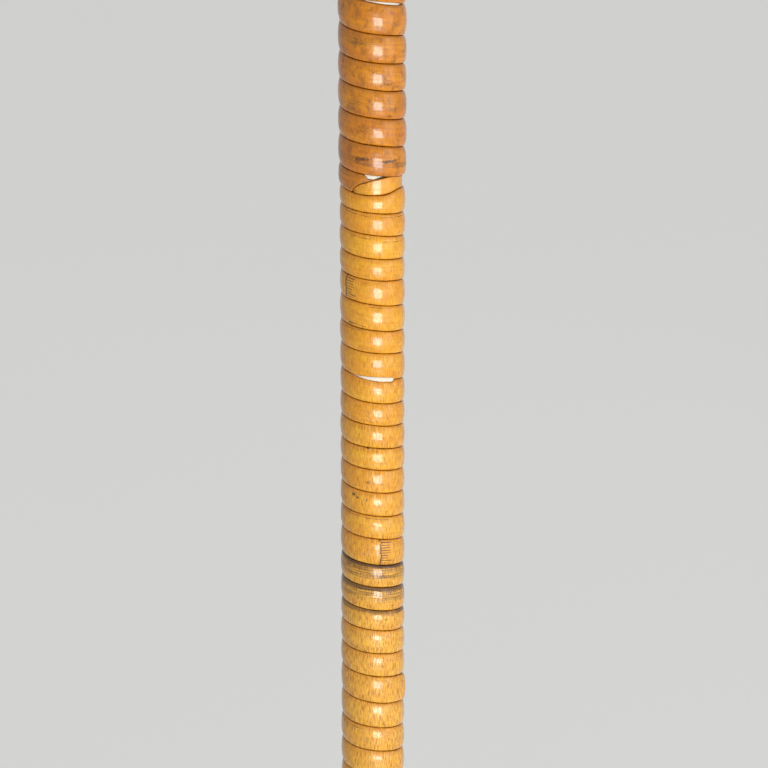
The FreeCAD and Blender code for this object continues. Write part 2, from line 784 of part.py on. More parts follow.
def cane_winding():
    """Six lengths from the upper ferrule down to the lower one, each starting where one ends.

    Each takes its reach along the tube, in proportion where the tube is longer or shorter, and
    the last one takes what is left.
    """
    names = ("first", "second", "third", "fourth", "fifth", "sixth")
    pitches = [f"{name}_cane_pitch" for name in names]
    whole_reach = " + ".join(f"{name}_cane_reach" for name in names)
    stretch = f"({WINDING_TOP} - {WINDING_BOTTOM}) / ({whole_reach})"
    turn_counts = [f"({name}_cane_reach * {stretch} / {name}_cane_pitch)" for name in names[:-1]]
    lower_edge = f"({WINDING_TOP} - {pitches[0]} + cane_gap)"
    angle = f"(splice_angle - {FULL_TURN} * ({turn_counts[0]} + {turn_counts[1]}))"
    gaps = []
    for index, pitch in enumerate(pitches):
        if index > 0:
            lower_edge = f"({lower_edge} + min(0; {pitches[index - 1]} - {pitch}))"
            angle = f"({angle} + splice_play)"
        if index < len(turn_counts):
            turns = turn_counts[index]
        else:
            turns = f"(({lower_edge} - {WINDING_BOTTOM}) / {pitch})"
        lower_edge = f"({lower_edge} - {turns} * {pitch})"
        angle = f"({angle} + {FULL_TURN} * {turns})"
        gaps.append(cane_strip(f"cane_{index + 1}", pitch, turns, lower_edge, angle))
    print("least gap between cane turns:", round(min(gaps), 3))


# Drip dish, candle cup and harp saddle

def upper_collar():
    middle = f"{TUBE_TOP} + upper_collar_height / 2"
    half = "(upper_collar_height / 2)"
    flare = f"({half} - collar_lip_height)"
    turned("upper_collar", [
        (CLEAR_RADIUS, TUBE_TOP),
        ("collar_lip_radius", TUBE_TOP),
        ("collar_lip_radius", f"{TUBE_TOP} + collar_lip_height"),
        ("collar_waist_radius", f"{TUBE_TOP} + collar_lip_height"),
        ("upper_collar_waist", middle, flare, -1),
        ("dish_floor_radius - collar_bead / 2", f"{DISH_BOTTOM} - collar_lip_height / 2", flare, -1),
        ("dish_floor_radius - collar_bead / 2", DISH_BOTTOM),
        (CLEAR_RADIUS, DISH_BOTTOM),
    ])


def drip_dish():
    """A spun dish: a flat floor on the collar and a rising bowl with a rounded lip."""
    lip_low = f"{DISH_BOTTOM} + dish_rise"
    lip_high = f"{lip_low} + dish_wall"
    turned("drip_dish", [
        (CLEAR_RADIUS, DISH_BOTTOM),
        ("dish_floor_radius", DISH_BOTTOM),
        ("dish_radius - dish_wall", lip_low, "dish_curve", 1),
        ("dish_radius", lip_high, "dish_wall", 1),
        ("dish_radius - dish_wall", f"{lip_high} + dish_wall", "dish_wall", 1),
        ("dish_floor_radius", CUP_BOTTOM, "dish_curve - dish_wall", -1),
        (CLEAR_RADIUS, CUP_BOTTOM),
    ])


def candle_cup():
    belly = f"{CUP_BOTTOM} + cup_belly_height"
    throat = f"{CUP_BOTTOM} + cup_throat_height"
    lip = f"{SADDLE_BOTTOM} - collar_lip_height"
    turned("candle_cup", [
        (CLEAR_RADIUS, CUP_BOTTOM),
        ("cup_foot_radius", CUP_BOTTOM),
        ("cup_foot_radius", f"{CUP_BOTTOM} + collar_lip_height"),
        ("cup_belly_radius", belly, "cup_belly_radius", 1),
        ("cup_throat_radius", throat, "cup_belly_radius", 1),
        ("cup_lip_radius", lip, "cup_throat_radius", -1),
        ("cup_lip_radius", SADDLE_BOTTOM),
        ("cup_mouth_radius", SADDLE_BOTTOM),
        ("cup_mouth_radius", f"{SADDLE_BOTTOM} - cup_mouth_depth"),
        (CLEAR_RADIUS, f"{SADDLE_BOTTOM} - cup_mouth_depth"),
    ])


def harp_saddle():
    """A flat strap across the cup, drawn in towards its ends, with an ear bent up at each."""
    body = new_body("harp_saddle")
    outer = "(saddle_span + ear_offset + ear_thickness)"
    wide, narrow = "saddle_width / 2", "saddle_tip_width / 2"
    sketch = new_sketch(body, "XY_Plane", "strap", SADDLE_BOTTOM)
    closed_outline(sketch, [
        (f"-1 * {outer}", f"-1 * {narrow}"),
        ("-1 * saddle_waist", f"-1 * {wide}"),
        ("saddle_waist", f"-1 * {wide}"),
        (outer, f"-1 * {narrow}"),
        (outer, narrow),
        ("saddle_waist", wide),
        ("-1 * saddle_waist", wide),
        (f"-1 * {outer}", narrow),
    ])
    pad(body, sketch, "saddle_thickness")
    centre = "(saddle_span + ear_offset + ear_thickness / 2)"
    for name, sign in (("left_ear", "-1"), ("right_ear", "1")):
        place = (f"{sign} * {centre}", "0")
        block(body, name, SOCKET_BASE, place, ("ear_thickness", "ear_width"), "ear_height")
    round_hole(body, "XY_Plane", "hole", SOCKET_BASE, [("0", "0", CLEAR_RADIUS)], "saddle_thickness")


def harp_wire():
    """One bent wire round the bulb, with a seat and a threaded stud at its top."""
    foot = "(saddle_span - harp_wire_offset)"
    right = [
        (foot, HARP_BOTTOM),
        (foot, f"{SOCKET_BASE} + harp_leg_height", "harp_low_bend"),
        ("harp_belly", f"{SOCKET_BASE} + harp_belly_low", "harp_side_bend"),
        ("harp_belly", f"{SOCKET_BASE} + harp_belly_high", "harp_high_bend"),
        ("harp_shoulder", HARP_TOP, "harp_top_bend"),
    ]
    left = [(f"-1 * {corner[0]}",) + corner[1:] for corner in right]
    body = new_body("harp_wire")
    route = new_sketch(body, "XZ_Plane", "route")
    rounded_route(route, left + right[::-1])
    section = new_sketch(body, "XY_Plane", "section", HARP_BOTTOM)
    add_circle(section, f"-1 * {foot}", "0", "harp_wire_radius")
    pipe = body.newObject("PartDesign::AdditivePipe", "harp_wire_pipe")
    pipe.Profile = section
    pipe.Spine = route
    seat_bottom = f"{HARP_SEAT} - harp_seat_height"
    round_pad(body, "seat", seat_bottom, ("0", "0"), "harp_seat_radius", "harp_seat_height")
    round_pad(body, "stud", HARP_SEAT, ("0", "0"), "stud_radius", "stud_height")


def harp_sleeve(label, side):
    """A sleeve that locks a harp leg to its ear, and slides up the leg to free it."""
    top = "sleeve_length"
    outer = "sleeve_bore_radius + sleeve_wall"
    body = turned(label, [
        ("sleeve_bore_radius", "0"),
        (outer, "0"),
        (outer, f"{top} - 2 * sleeve_bead"),
        (f"{outer} + sleeve_bead", f"{top} - sleeve_bead", "sleeve_bead", 1),
        (outer, top, "sleeve_bead", 1),
        ("sleeve_bore_radius", top),
    ])
    bind(body, "Placement.Base.x", f"{side} * saddle_span")
    bind(body, "Placement.Base.z", f"{SOCKET_BASE} + rest_gap")


# Lamp holder

def socket_cap():
    rim = "cap_rim_radius"
    bowl = "(cap_rim_radius - cap_hub_radius)"
    hub_top = f"{SOCKET_BASE} + cap_hub_height"
    turned("socket_cap", [
        (TAPPED_RADIUS, SOCKET_BASE),
        ("cap_hub_radius", SOCKET_BASE),
        ("cap_hub_radius", hub_top),
        (rim, CAP_RIM_BOTTOM, bowl, 1),
        (rim, CAP_RIM_TOP),
        (f"{rim} - cap_wall", CAP_RIM_TOP),
        (f"{rim} - cap_wall", CAP_RIM_BOTTOM),
        ("cap_hub_radius", f"{hub_top} + cap_wall", f"{bowl} - cap_wall", -1),
        ("cap_hub_radius", f"{SOCKET_BASE} + cap_boss_height"),
        (TAPPED_RADIUS, f"{SOCKET_BASE} + cap_boss_height"),
    ])


def key_hole(body, name, reach):
    """The way through a wall of the holder for the switch shaft, on the -Y side."""
    circle = ("0", KEY_AXIS, "key_shaft_radius + key_hole_gap")
    round_hole(body, "XZ_Plane", name, "0", [circle], reach, True)


def socket_shell():
    inner = f"({SHELL_OUTER} - shell_wall)"
    bead = f"{SHELL_TOP} - 2 * shell_bead"
    body = turned("socket_shell", [
        (inner, SHELL_BOTTOM),
        (SHELL_OUTER, SHELL_BOTTOM),
        (SHELL_OUTER, bead),
        (f"{SHELL_OUTER} + shell_bead", f"{bead} + shell_bead", "shell_bead", 1),
        (SHELL_OUTER, SHELL_TOP, "shell_bead", 1),
        (inner, SHELL_TOP),
    ])
    key_hole(body, "key_hole", "cap_rim_radius")


def socket_liner():
    inner = f"({LINER_OUTER} - liner_wall)"
    body = ring("socket_liner", inner, LINER_OUTER, INSULATOR_BOTTOM, f"{SHELL_TOP} - shell_bead")
    key_hole(body, "key_hole", "cap_rim_radius")


def socket_insulator():
    """The insulating core: a thick floor that holds the switch and a wall round the screw shell."""
    well = "(screw_shell_radius + shell_gap)"
    top = f"{INSULATOR_BOTTOM} + insulator_height"
    body = turned("socket_insulator", [
        ("0", INSULATOR_BOTTOM),
        (INSULATOR_RADIUS, INSULATOR_BOTTOM),
        (INSULATOR_RADIUS, top),
        (well, top),
        (well, INSULATOR_DECK),
        ("0", INSULATOR_DECK),
    ])
    bore = ("0", KEY_AXIS, "key_shaft_radius + running_gap")
    start = "key_shaft_start - rest_gap"
    round_hole(body, "XZ_Plane", "shaft_bore", start, [bore], "cap_rim_radius", True)


def screw_shell():
    ring("screw_shell", "screw_shell_radius - screw_shell_wall", "screw_shell_radius",
         INSULATOR_DECK, f"{INSULATOR_DECK} + screw_shell_height")


def centre_contact():
    ring("centre_contact", "0", "contact_radius", INSULATOR_DECK, f"{INSULATOR_DECK} + contact_height")


def socket_terminals():
    """Two brass blocks under the insulator, one for each lead, tapped from the side."""
    body = new_body("socket_terminals")
    size = ("terminal_size", "terminal_size")
    for name, sign in (("left", "-1"), ("right", "1")):
        block(body, name, TERMINAL_BOTTOM, (f"{sign} * terminal_distance", "0"), size, "terminal_height")
    level = f"{TERMINAL_BOTTOM} + terminal_height / 2"
    hole = [("0", level, "small_screw_radius + thread_gap")]
    outside = "terminal_distance + terminal_size / 2"
    depth = "terminal_size - 2 * seat_gap - small_screw_radius"
    round_hole(body, "YZ_Plane", "right_thread", outside, hole, depth)
    round_hole(body, "YZ_Plane", "left_thread", f"-1 * ({outside})", hole, depth, True)


def terminal_screws():
    body = new_body("terminal_screws")
    level = f"{TERMINAL_BOTTOM} + terminal_height / 2"
    outside = "(terminal_distance + terminal_size / 2)"
    grip = "(terminal_size - 4 * seat_gap - small_screw_radius)"
    for name, start, length, radius in (
            ("right_shank", f"{outside} - {grip}", grip, "small_screw_radius"),
            ("right_head", outside, "terminal_head", "terminal_height / 2"),
            ("left_shank", f"-1 * {outside}", grip, "small_screw_radius"),
            ("left_head", f"-1 * {outside} - terminal_head", "terminal_head", "terminal_height / 2")):
        sketch = new_sketch(body, "YZ_Plane", name, start)
        add_circle(sketch, "0", level, radius)
        pad(body, sketch, length)


def switch_shaft():
    body = new_body("switch_shaft")
    sketch = new_sketch(body, "XZ_Plane", "section", "key_shaft_start")
    add_circle(sketch, "0", KEY_AXIS, "key_shaft_radius")
    pad(body, sketch, "key_shaft_reach")


def switch_key():
    """A round boss on the end of the shaft and a flat thumb blade beyond it."""
    boss_start = f"({SHELL_OUTER} + key_boss_clearance)"
    blade_start = f"({boss_start} + key_boss_length)"
    blade_end = f"({blade_start} + key_blade_length)"
    half = "(key_blade_width / 2)"
    corner = "key_blade_corner"
    body = new_body("switch_key")
    boss = new_sketch(body, "XZ_Plane", "boss", boss_start)
    add_circle(boss, "0", KEY_AXIS, "key_boss_radius")
    pad(body, boss, "key_boss_length")
    blade = new_sketch(body, "YZ_Plane", "blade")
    closed_outline(blade, [
        (f"-1 * {blade_start}", f"{KEY_AXIS} + {half} - {corner}"),
        (f"-1 * {blade_start} - {corner}", f"{KEY_AXIS} + {half}", corner, 1),
        (f"-1 * {blade_end} + {corner}", f"{KEY_AXIS} + {half}"),
        (f"-1 * {blade_end}", f"{KEY_AXIS} + {half} - {corner}", corner, 1),
        (f"-1 * {blade_end}", f"{KEY_AXIS} - {half} + {corner}"),
        (f"-1 * {blade_end} + {corner}", f"{KEY_AXIS} - {half}", corner, 1),
        (f"-1 * {blade_start} - {corner}", f"{KEY_AXIS} - {half}"),
        (f"-1 * {blade_start}", f"{KEY_AXIS} - {half} + {corner}", corner, 1),
    ])
    pad(body, blade, "key_blade_thickness", midplane=True)
    bore = ("0", KEY_AXIS, "key_shaft_radius + seat_gap")
    shaft_end = "key_shaft_start + key_shaft_reach + seat_gap"
    round_hole(body, "XZ_Plane", "bore", shaft_end, [bore], shaft_end)


# Bulb

def bulb_cap():
    """The screw cap: a thin shell with an insulated contact at its foot."""
    radius = "bulb_cap_radius"
    top = f"{BULB_SHOULDER} + bulb_cap_height"
    floor = f"{BULB_SHOULDER} + bulb_tip_height"
    turned("bulb_cap", [
        ("0", BULB_BOTTOM),
        ("bulb_tip_radius - bulb_cap_wall", BULB_BOTTOM),
        ("bulb_tip_radius", f"{BULB_BOTTOM} + bulb_cap_wall"),
        (radius, f"{floor} - bulb_cap_wall"),
        (radius, top),
        (f"{radius} - bulb_cap_wall", top),
        (f"{radius} - bulb_cap_wall", floor),
        ("0", floor),
    ])


def bulb_glass():
    """A pear-shaped bulb: a neck in the cap, a long concave flank and a round crown."""
    wall = "bulb_glass_wall"
    foot = BULB_FOOT
    neck_top = f"{BULB_SHOULDER} + bulb_neck_height"
    join_height = f"{BULB_CENTRE} - bulb_join_drop"
    join_radius = "sqrt(bulb_radius ^ 2 - bulb_join_drop ^ 2)"
    inner_radius = f"(bulb_radius - {wall})"
    inner_join = f"sqrt({inner_radius} ^ 2 - bulb_join_drop ^ 2)"
    turned("bulb_glass", [
        ("bulb_neck_radius", foot),
        ("bulb_neck_radius", neck_top),
        (join_radius, join_height, "bulb_neck_curve", -1),
        ("0", f"{BULB_CENTRE} + bulb_radius", "bulb_radius", 1),
        ("0", f"{BULB_CENTRE} + {inner_radius}"),
        (inner_join, join_height, inner_radius, -1),
        (f"bulb_neck_radius - {wall}", neck_top, f"bulb_neck_curve + {wall}", 1),
        (f"bulb_neck_radius - {wall}", foot),
    ])


def bulb_mount():
    """The glass stem inside the bulb, flared where it is sealed to the neck."""
    foot = BULB_FOOT
    flare = "bulb_neck_radius - bulb_glass_wall - seat_gap"
    turned("bulb_mount", [
        ("0", foot),
        (flare, foot),
        (flare, f"{foot} + bulb_glass_wall"),
        ("mount_radius", f"{foot} + mount_flare_height"),
        ("mount_radius", f"{foot} + mount_height"),
        ("0", f"{foot} + mount_height"),
    ])


def bulb_filament():
    """Two support leads and the filament between them, one bent wire."""
    side = "(mount_radius + filament_radius + seat_gap)"
    start = f"{BULB_FOOT} + filament_seat"
    knee = f"{BULB_FOOT} + mount_height"
    peak = f"{knee} + filament_rise"
    right = [
        (side, start),
        (side, knee, "filament_knee_bend"),
        ("filament_span", peak, "filament_bend"),
    ]
    left = [(f"-1 * {corner[0]}",) + corner[1:] for corner in right]
    middle = [("0", f"{peak} - filament_dip", "filament_bend")]
    body = new_body("bulb_filament")
    route = new_sketch(body, "XZ_Plane", "route")
    rounded_route(route, left + middle + right[::-1])
    section = new_sketch(body, "XY_Plane", "section", start)
    add_circle(section, f"-1 * {side}", "0", "filament_radius")
    pipe = body.newObject("PartDesign::AdditivePipe", "bulb_filament_pipe")
    pipe.Profile = section
    pipe.Spine = route


# Leads held inside the lamp

def bent_path(corners):
    """Straight runs joined by tangent arcs; a corner is (point, radius), its ends without one."""
    edges = []
    start = corners[0][0]
    for (before, _), (corner, radius), (after, _) in zip(corners, corners[1:], corners[2:]):
        inward = (corner - before).normalize()
        outward = (after - corner).normalize()
        setback = radius * math.tan(inward.getAngle(outward) / 2)
        first = corner - inward * setback
        last = corner + outward * setback
        towards = (outward - inward).normalize()
        centre = corner + towards * math.hypot(radius, setback)
        edges.append(Part.LineSegment(start, first).toShape())
        edges.append(Part.Arc(first, centre - towards * radius, last).toShape())
        start = last
    edges.append(Part.LineSegment(start, corners[-1][0]).toShape())
    return Part.Wire(edges)


def lead(label, side):
    """An insulated lead from the block in the foot, up the stem and out to its terminal."""
    near = side * value("lead_spacing / 2")
    far = side * value("block_wire_spacing / 2")
    end = side * value("terminal_distance")
    foot = value("felt_thickness + block_wire_height")
    block_front = value("block_distance - block_length / 2")
    clamp = value("block_distance - small_screw_radius - seat_gap")
    head = value(f"{UPPER_NIPPLE_TOP} + lead_head_height / 2")
    tip = value(f"{TERMINAL_BOTTOM} - seat_gap")
    turn_out = (head, value(f"{TERMINAL_BOTTOM} - lead_head_height / 2"))
    path = bent_path([
        (Vector(far, clamp, foot), None),
        (Vector(far, block_front - value("lead_side_reach"), foot), value("lead_side_bend")),
        (Vector(near, 0, foot), value("lead_foot_bend")),
        (Vector(near, 0, turn_out[0]), value("lead_head_bend")),
        (Vector(end, 0, turn_out[1]), value("lead_head_bend")),
        (Vector(end, 0, tip), None),
    ])
    circle = Part.Circle(Vector(far, clamp, foot), Vector(0, 1, 0), value("lead_radius"))
    section = Part.Wire([circle.toShape()])
    tube = path.makePipeShell([section], True, False)
    expected = math.pi * value("lead_radius") ** 2 * path.Length
    print(label, "length", round(path.Length, 1), "volume ratio", round(tube.Volume / expected, 4))
    piece = document.addObject("Part::Feature", label)
    piece.Shape = tube
    piece.Label = label
    piece.Placement = Placement()
    pieces.append(piece)


# Shade

def shade_radius(level):
    """The outer radius of the cover at a level, as an expression."""
    return f"(shade_top_radius + ({SHADE_TOP} - {level}) * {SHADE_SLOPE})"


def cone_band(label, inner_offset, outer_offset, bottom, top):
    """A band that follows the cover's slope, between two offsets from its outer face."""
    turned(label, [
        (f"{shade_radius(bottom)} + {inner_offset}", bottom),
        (f"{shade_radius(bottom)} + {outer_offset}", bottom),
        (f"{shade_radius(top)} + {outer_offset}", top),
        (f"{shade_radius(top)} + {inner_offset}", top),
    ])


def shade_ring(label, level):
    """A wire ring just inside the cover."""
    torus = document.addObject("Part::Torus", label)
    bind(torus, "Radius1", f"{shade_radius(level)} - {SHADE_RING_INSET}")
    bind(torus, "Radius2", "shade_ring_radius")
    bind(torus, "Placement.Base.z", level)
    torus.Label = label
    pieces.append(torus)


def shade_spider():
    """A washer on the harp stud and three wire arms that step up to the top ring."""
    body = new_body("shade_spider")
    washer = new_sketch(body, "XY_Plane", "washer", HARP_SEAT)
    add_circle(washer, "0", "0", "spider_washer_radius")
    add_circle(washer, "0", "0", "stud_radius + bore_gap")
    pad(body, washer, "spider_washer_thickness")
    document.recompute()
    low = f"({HARP_SEAT} + spider_washer_thickness / 2)"
    ring_inner = f"({shade_radius(SHADE_RING_LEVEL)} - {SHADE_RING_INSET} - shade_ring_radius - seat_gap)"
    start = "(spider_washer_radius - spider_wire_radius)"
    route = new_sketch(body, "XZ_Plane", "route")
    rounded_route(route, [
        (start, low),
        ("spider_step_radius", low, "spider_bend"),
        ("spider_step_radius + spider_step_length", SHADE_RING_LEVEL, "spider_bend"),
        (ring_inner, SHADE_RING_LEVEL),
    ])
    section = new_sketch(body, "YZ_Plane", "section", start)
    add_circle(section, "0", low, "spider_wire_radius")
    arm = body.newObject("PartDesign::AdditivePipe", "shade_spider_arm")
    arm.Profile = section
    arm.Spine = route
    repeat_round(body, [arm], "spider_arm_count")


def shade():
    cone_band("shade_cover", "(-1 * shade_wall)", "0", SHADE_BOTTOM, SHADE_TOP)
    inner, outer = "trim_gap", "(trim_gap + trim_thickness)"
    cone_band("shade_top_trim", inner, outer, f"({SHADE_TOP} - trim_width)", SHADE_TOP)
    cone_band("shade_bottom_trim", inner, outer, SHADE_BOTTOM, f"({SHADE_BOTTOM} + trim_width)")
    shade_ring("shade_top_ring", SHADE_RING_LEVEL)
    shade_ring("shade_bottom_ring", f"({SHADE_BOTTOM} + shade_top_drop)")
    shade_spider()


def finial():
    """A turned urn finial, tapped to screw down on the harp stud."""
    foot_top = f"{FINIAL_BOTTOM} + finial_foot_height"
    neck = f"{FINIAL_BOTTOM} + finial_neck_height"
    knop = f"{FINIAL_BOTTOM} + finial_knop_height"
    tip = f"{FINIAL_BOTTOM} + finial_height - finial_tip_radius"
    thread = "(stud_radius + thread_gap)"
    turned("finial", [
        (thread, FINIAL_BOTTOM),
        ("finial_foot_radius", FINIAL_BOTTOM),
        ("finial_foot_radius", foot_top),
        ("finial_neck_radius", neck, "finial_neck_curve", -1),
        ("finial_knop_radius", knop, "finial_knop_curve", 1),
        ("finial_tip_radius", tip, "finial_tip_curve", -1),
        ("0", f"{FINIAL_BOTTOM} + finial_height", "finial_tip_radius", 1),
        ("0", f"{FINIAL_BOTTOM} + finial_thread_depth"),
        (thread, f"{FINIAL_BOTTOM} + finial_thread_depth"),
    ])


def build_lamp():
    felt_ring()
    base_weight()
    base_cover()
    cord_grommet()
    well_cover()
    well_cover_screws()
    ring("base_washer", CLEAR_RADIUS, "washer_radius", NUT_TOP, WELL_CEILING)
    hexagon_nut()
    nipple("lower_nipple", LOWER_NIPPLE_BOTTOM, f"({TUBE_BOTTOM} + nipple_grip)")
    terminal_block()
    terminal_block_screws()
    stem_collar()
    stem()
    cane_winding()
    upper_collar()
    nipple("upper_nipple", f"({TUBE_TOP} - nipple_grip)", UPPER_NIPPLE_TOP)
    drip_dish()
    candle_cup()
    harp_saddle()
    harp_wire()
    harp_sleeve("harp_sleeve_left", "-1")
    harp_sleeve("harp_sleeve_right", "1")
    socket_cap()
    socket_shell()
    socket_liner()
    socket_insulator()
    screw_shell()
    centre_contact()
    socket_terminals()
    terminal_screws()
    switch_shaft()
    switch_key()
    bulb_cap()
    bulb_glass()
    bulb_mount()
    bulb_filament()
    lead("live_lead", -1)
    lead("neutral_lead", 1)
    shade()
    finial()


def check_document():
    """Stops before anything is written if a feature failed or a piece has no sound solid."""
    for thing in document.Objects:
        if "Invalid" in thing.State or "Error" in thing.State:
            raise RuntimeError(f"{thing.Label} failed: {thing.State}")
    for piece in pieces:
        if piece.Shape.isNull() or not piece.Shape.isValid() or not piece.Shape.Solids:
            raise RuntimeError(f"{piece.Label} has no sound solid")


def write_pieces():
    os.makedirs("parts", exist_ok=True)
    for piece in pieces:
        piece.Shape.exportStep(os.path.join("parts", f"{piece.Label}.step"))
    print(len(pieces), "pieces written")


build_lamp()
document.recompute()
check_document()
write_pieces()
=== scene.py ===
import math

import bpy
import numpy as np
from bpy.props import FloatProperty, FloatVectorProperty, IntProperty, PointerProperty
from bpy.types import NodeSocket, Operator, Panel, PropertyGroup
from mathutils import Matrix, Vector


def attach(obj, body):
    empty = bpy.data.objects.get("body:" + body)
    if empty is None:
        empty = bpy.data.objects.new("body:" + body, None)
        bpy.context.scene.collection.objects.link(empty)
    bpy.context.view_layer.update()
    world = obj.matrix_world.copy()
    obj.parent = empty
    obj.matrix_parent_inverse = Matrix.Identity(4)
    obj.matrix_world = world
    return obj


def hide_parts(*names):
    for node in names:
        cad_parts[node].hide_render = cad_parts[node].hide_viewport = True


bl_info = {
    "name": "Candlestick Floor Lamp",
    "version": (1, 0),
    "blender": (4, 5, 0),
    "location": "3D Viewport > Sidebar > Floor Lamp",
    "description": "Winds the cane of a floor lamp, dresses its shade and finishes its metal",
    "category": "Add Mesh",
}

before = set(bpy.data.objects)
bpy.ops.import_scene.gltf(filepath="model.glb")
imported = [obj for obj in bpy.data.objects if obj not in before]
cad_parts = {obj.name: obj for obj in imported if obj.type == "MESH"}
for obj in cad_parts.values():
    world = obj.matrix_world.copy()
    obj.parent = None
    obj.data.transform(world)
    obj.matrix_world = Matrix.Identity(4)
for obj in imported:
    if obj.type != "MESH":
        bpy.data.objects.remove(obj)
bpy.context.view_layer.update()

MM = 0.001
FULL_TURN = 2 * math.pi
RIM_LAYER = "rim"
STAIN_LAYER = "stain"
KNUCKLE_LAYER = "knuckle"
CRAZE_LAYER = "craze"
PALE_LAYER = "pale"
SPLIT_LAYER = "split"
TOP_LAYER = "top"
CLOTH_UV = "cloth"
STRIP_UV = "strip"

# The winding. A place along it is counted in turns: 0 is where the highest seam in view crosses
# the front, and each further turn is one turn lower. Going down, it runs from left to right
# across the front.

WINDING_START = -41.66
WINDING_TOP = 1150.2
CORE_RADIUS = 8.15
FACE_RADIUS = 10.35

# (number of turns, width of each in mm), from the top down. The single turns are the ones that
# the photograph shows, read off it seam by seam.
TURN_WIDTHS = (
    (25, 8.385), (16.66, 8.84),
    (1, 9.9), (1, 8.9), (1, 8.6), (1, 8.8), (1, 8.7), (1, 9.7),
    (1, 6.4), (1, 5.6), (1, 7.1), (1, 7.4), (1, 7.1), (1, 7.9), (1, 8.3), (1, 7.5), (1, 8.4),
    (1, 7.9), (2, 7.5), (1, 7.3), (1, 7.5), (1, 7.9), (1, 7.8), (1, 8.6), (1, 7.7), (1, 8.0),
    (1, 6.7), (1, 8.1), (1, 7.9), (1, 9.0), (1, 8.7), (1, 8.2),
    (23.54, 8.31), (23.8, 8.2), (10.2, 8.0),
)

# (turn, mm that the seam lies above or below its even course): where the narrow strip is pulled
# up over the end of the wide one
SEAM_SHIFTS = (
    (6.70, 0), (6.80, 0.5), (6.92, 0), (7.05, 0.5), (7.18, 2.2), (7.32, 2.4), (7.5, 1.3),
    (7.75, 0.4), (7.95, 0),
)

# Seams that gape so that the core shows: starts to open, fully open, starts to close, closed
# (all in turns), how wide in mm, and the share of that which lies below the seam's line
OPEN_SEAMS = (
    (-0.08, 0.06, 0.15, 0.19, 0.6, 0.5),
    (5.955, 5.98, 5.995, 6.06, 1.3, 1.0),
    (14.87, 15.03, 15.115, 15.13, 1.3, 0.5),
)

# The edge along which the narrow strip is cut and laid over the wide one's tail: (turn, height
# in mm above the seam below, as a share of the turn's width)
SPLICE_EDGE = (
    (6.884, -0.02), (6.896, 0.14), (6.906, 0.28), (6.937, 0.49), (6.968, 0.62), (7.0, 0.76),
    (7.042, 0.86), (7.08, 0.95), (7.122, 1.02), (7.2, 1.1),
)
TAIL_END = 7.02

# Nodes of the cane, in turns; the swelling ends in a small ledge on the side that runs down
KNUCKLES = (
    -38.2, -27.6, -17.9, -8.3, 11.852, 23.042, 29.235, 38.4, 47.9, 57.3, 66.8, 76.1, 85.2,
)

# Stains along the strip: (from turn, to turn, middle and half-width across as shares of the
# strip's width, strength)
STAINS = (
    (23.55, 24.55, 0.97, 0.15, 1.0), (23.6, 24.5, 0.66, 0.36, 0.72),
    (24.62, 25.35, 0.93, 0.16, 0.9), (24.7, 25.5, 0.66, 0.30, 0.6),
    (25.62, 26.35, 0.93, 0.16, 0.85), (22.7, 23.4, 0.03, 0.05, 0.4),
    (5.68, 6.3, 0.42, 0.16, 0.5), (3.9, 4.4, 0.5, 0.3, 0.25), (1.7, 2.1, 0.7, 0.2, 0.3),
    (6.6, 7.02, 0.5, 0.5, 0.3), (-9.2, -8.6, 0.8, 0.2, 0.5), (52.1, 52.9, 0.2, 0.2, 0.5),
    (66.3, 67.2, 0.9, 0.15, 0.6),
)

# Fine splits along the strip: from turn, to turn, and place across at each end, as a share of
# the width from the lower edge
SPLITS = (
    (8.84, 8.99, 0.90, 0.84), (9.03, 9.2, 0.84, 0.88), (9.86, 9.99, 0.90, 0.82),
    (10.05, 10.2, 0.76, 0.80), (12.83, 12.97, 0.20, 0.10), (12.98, 13.1, 0.92, 0.90),
    (13.8, 13.95, 0.88, 0.93), (21.8, 22.1, 0.92, 0.88), (26.86, 26.97, 0.22, 0.08),
    (30.7, 30.95, 0.9, 0.86), (40.1, 40.3, 0.12, 0.1), (60.4, 60.7, 0.9, 0.87),
)

# How strongly the varnish is crazed, and how far the cane has paled, by turn
CRAZING = (
    (-40, 0.35), (6, 0.45), (9, 0.55), (13, 0.5), (16, 0.7), (22, 0.8), (24, 1.0), (88, 1.0),
)
PALENESS = ((-40, 0), (14, 0), (22, 0.25), (27, 0.7), (40, 0.6), (60, 0.3), (88, 0.5))

# Outside radius less core radius in mm, by turn, and the crown's height
THICKNESS = (
    (-41, 2.2), (-37.5, 2.2), (-34, 2.4), (-17, 2.45), (6.9, 2.5), (7.1, 2.3), (9, 2.12),
    (16, 2.08), (88, 2.08),
)
CROWN = ((-41, 0.6), (6.9, 0.68), (8, 0.56), (88, 0.56))


def paint(red, green, blue):
    """A linear RGBA colour from 0-255 screen values."""
    screen = np.array([red, green, blue]) / 255
    linear = np.where(screen <= 0.04045, screen / 12.92, ((screen + 0.055) / 1.055) ** 2.4)
    return (*(float(part) for part in linear), 1.0)


# Shapes

def eased(x, start, end):
    """0 up to start, 1 from end on, and the S-curve 3s^2 - 2s^3 between."""
    share = np.clip((x - start) / (end - start), 0, 1)
    return share * share * (3 - 2 * share)


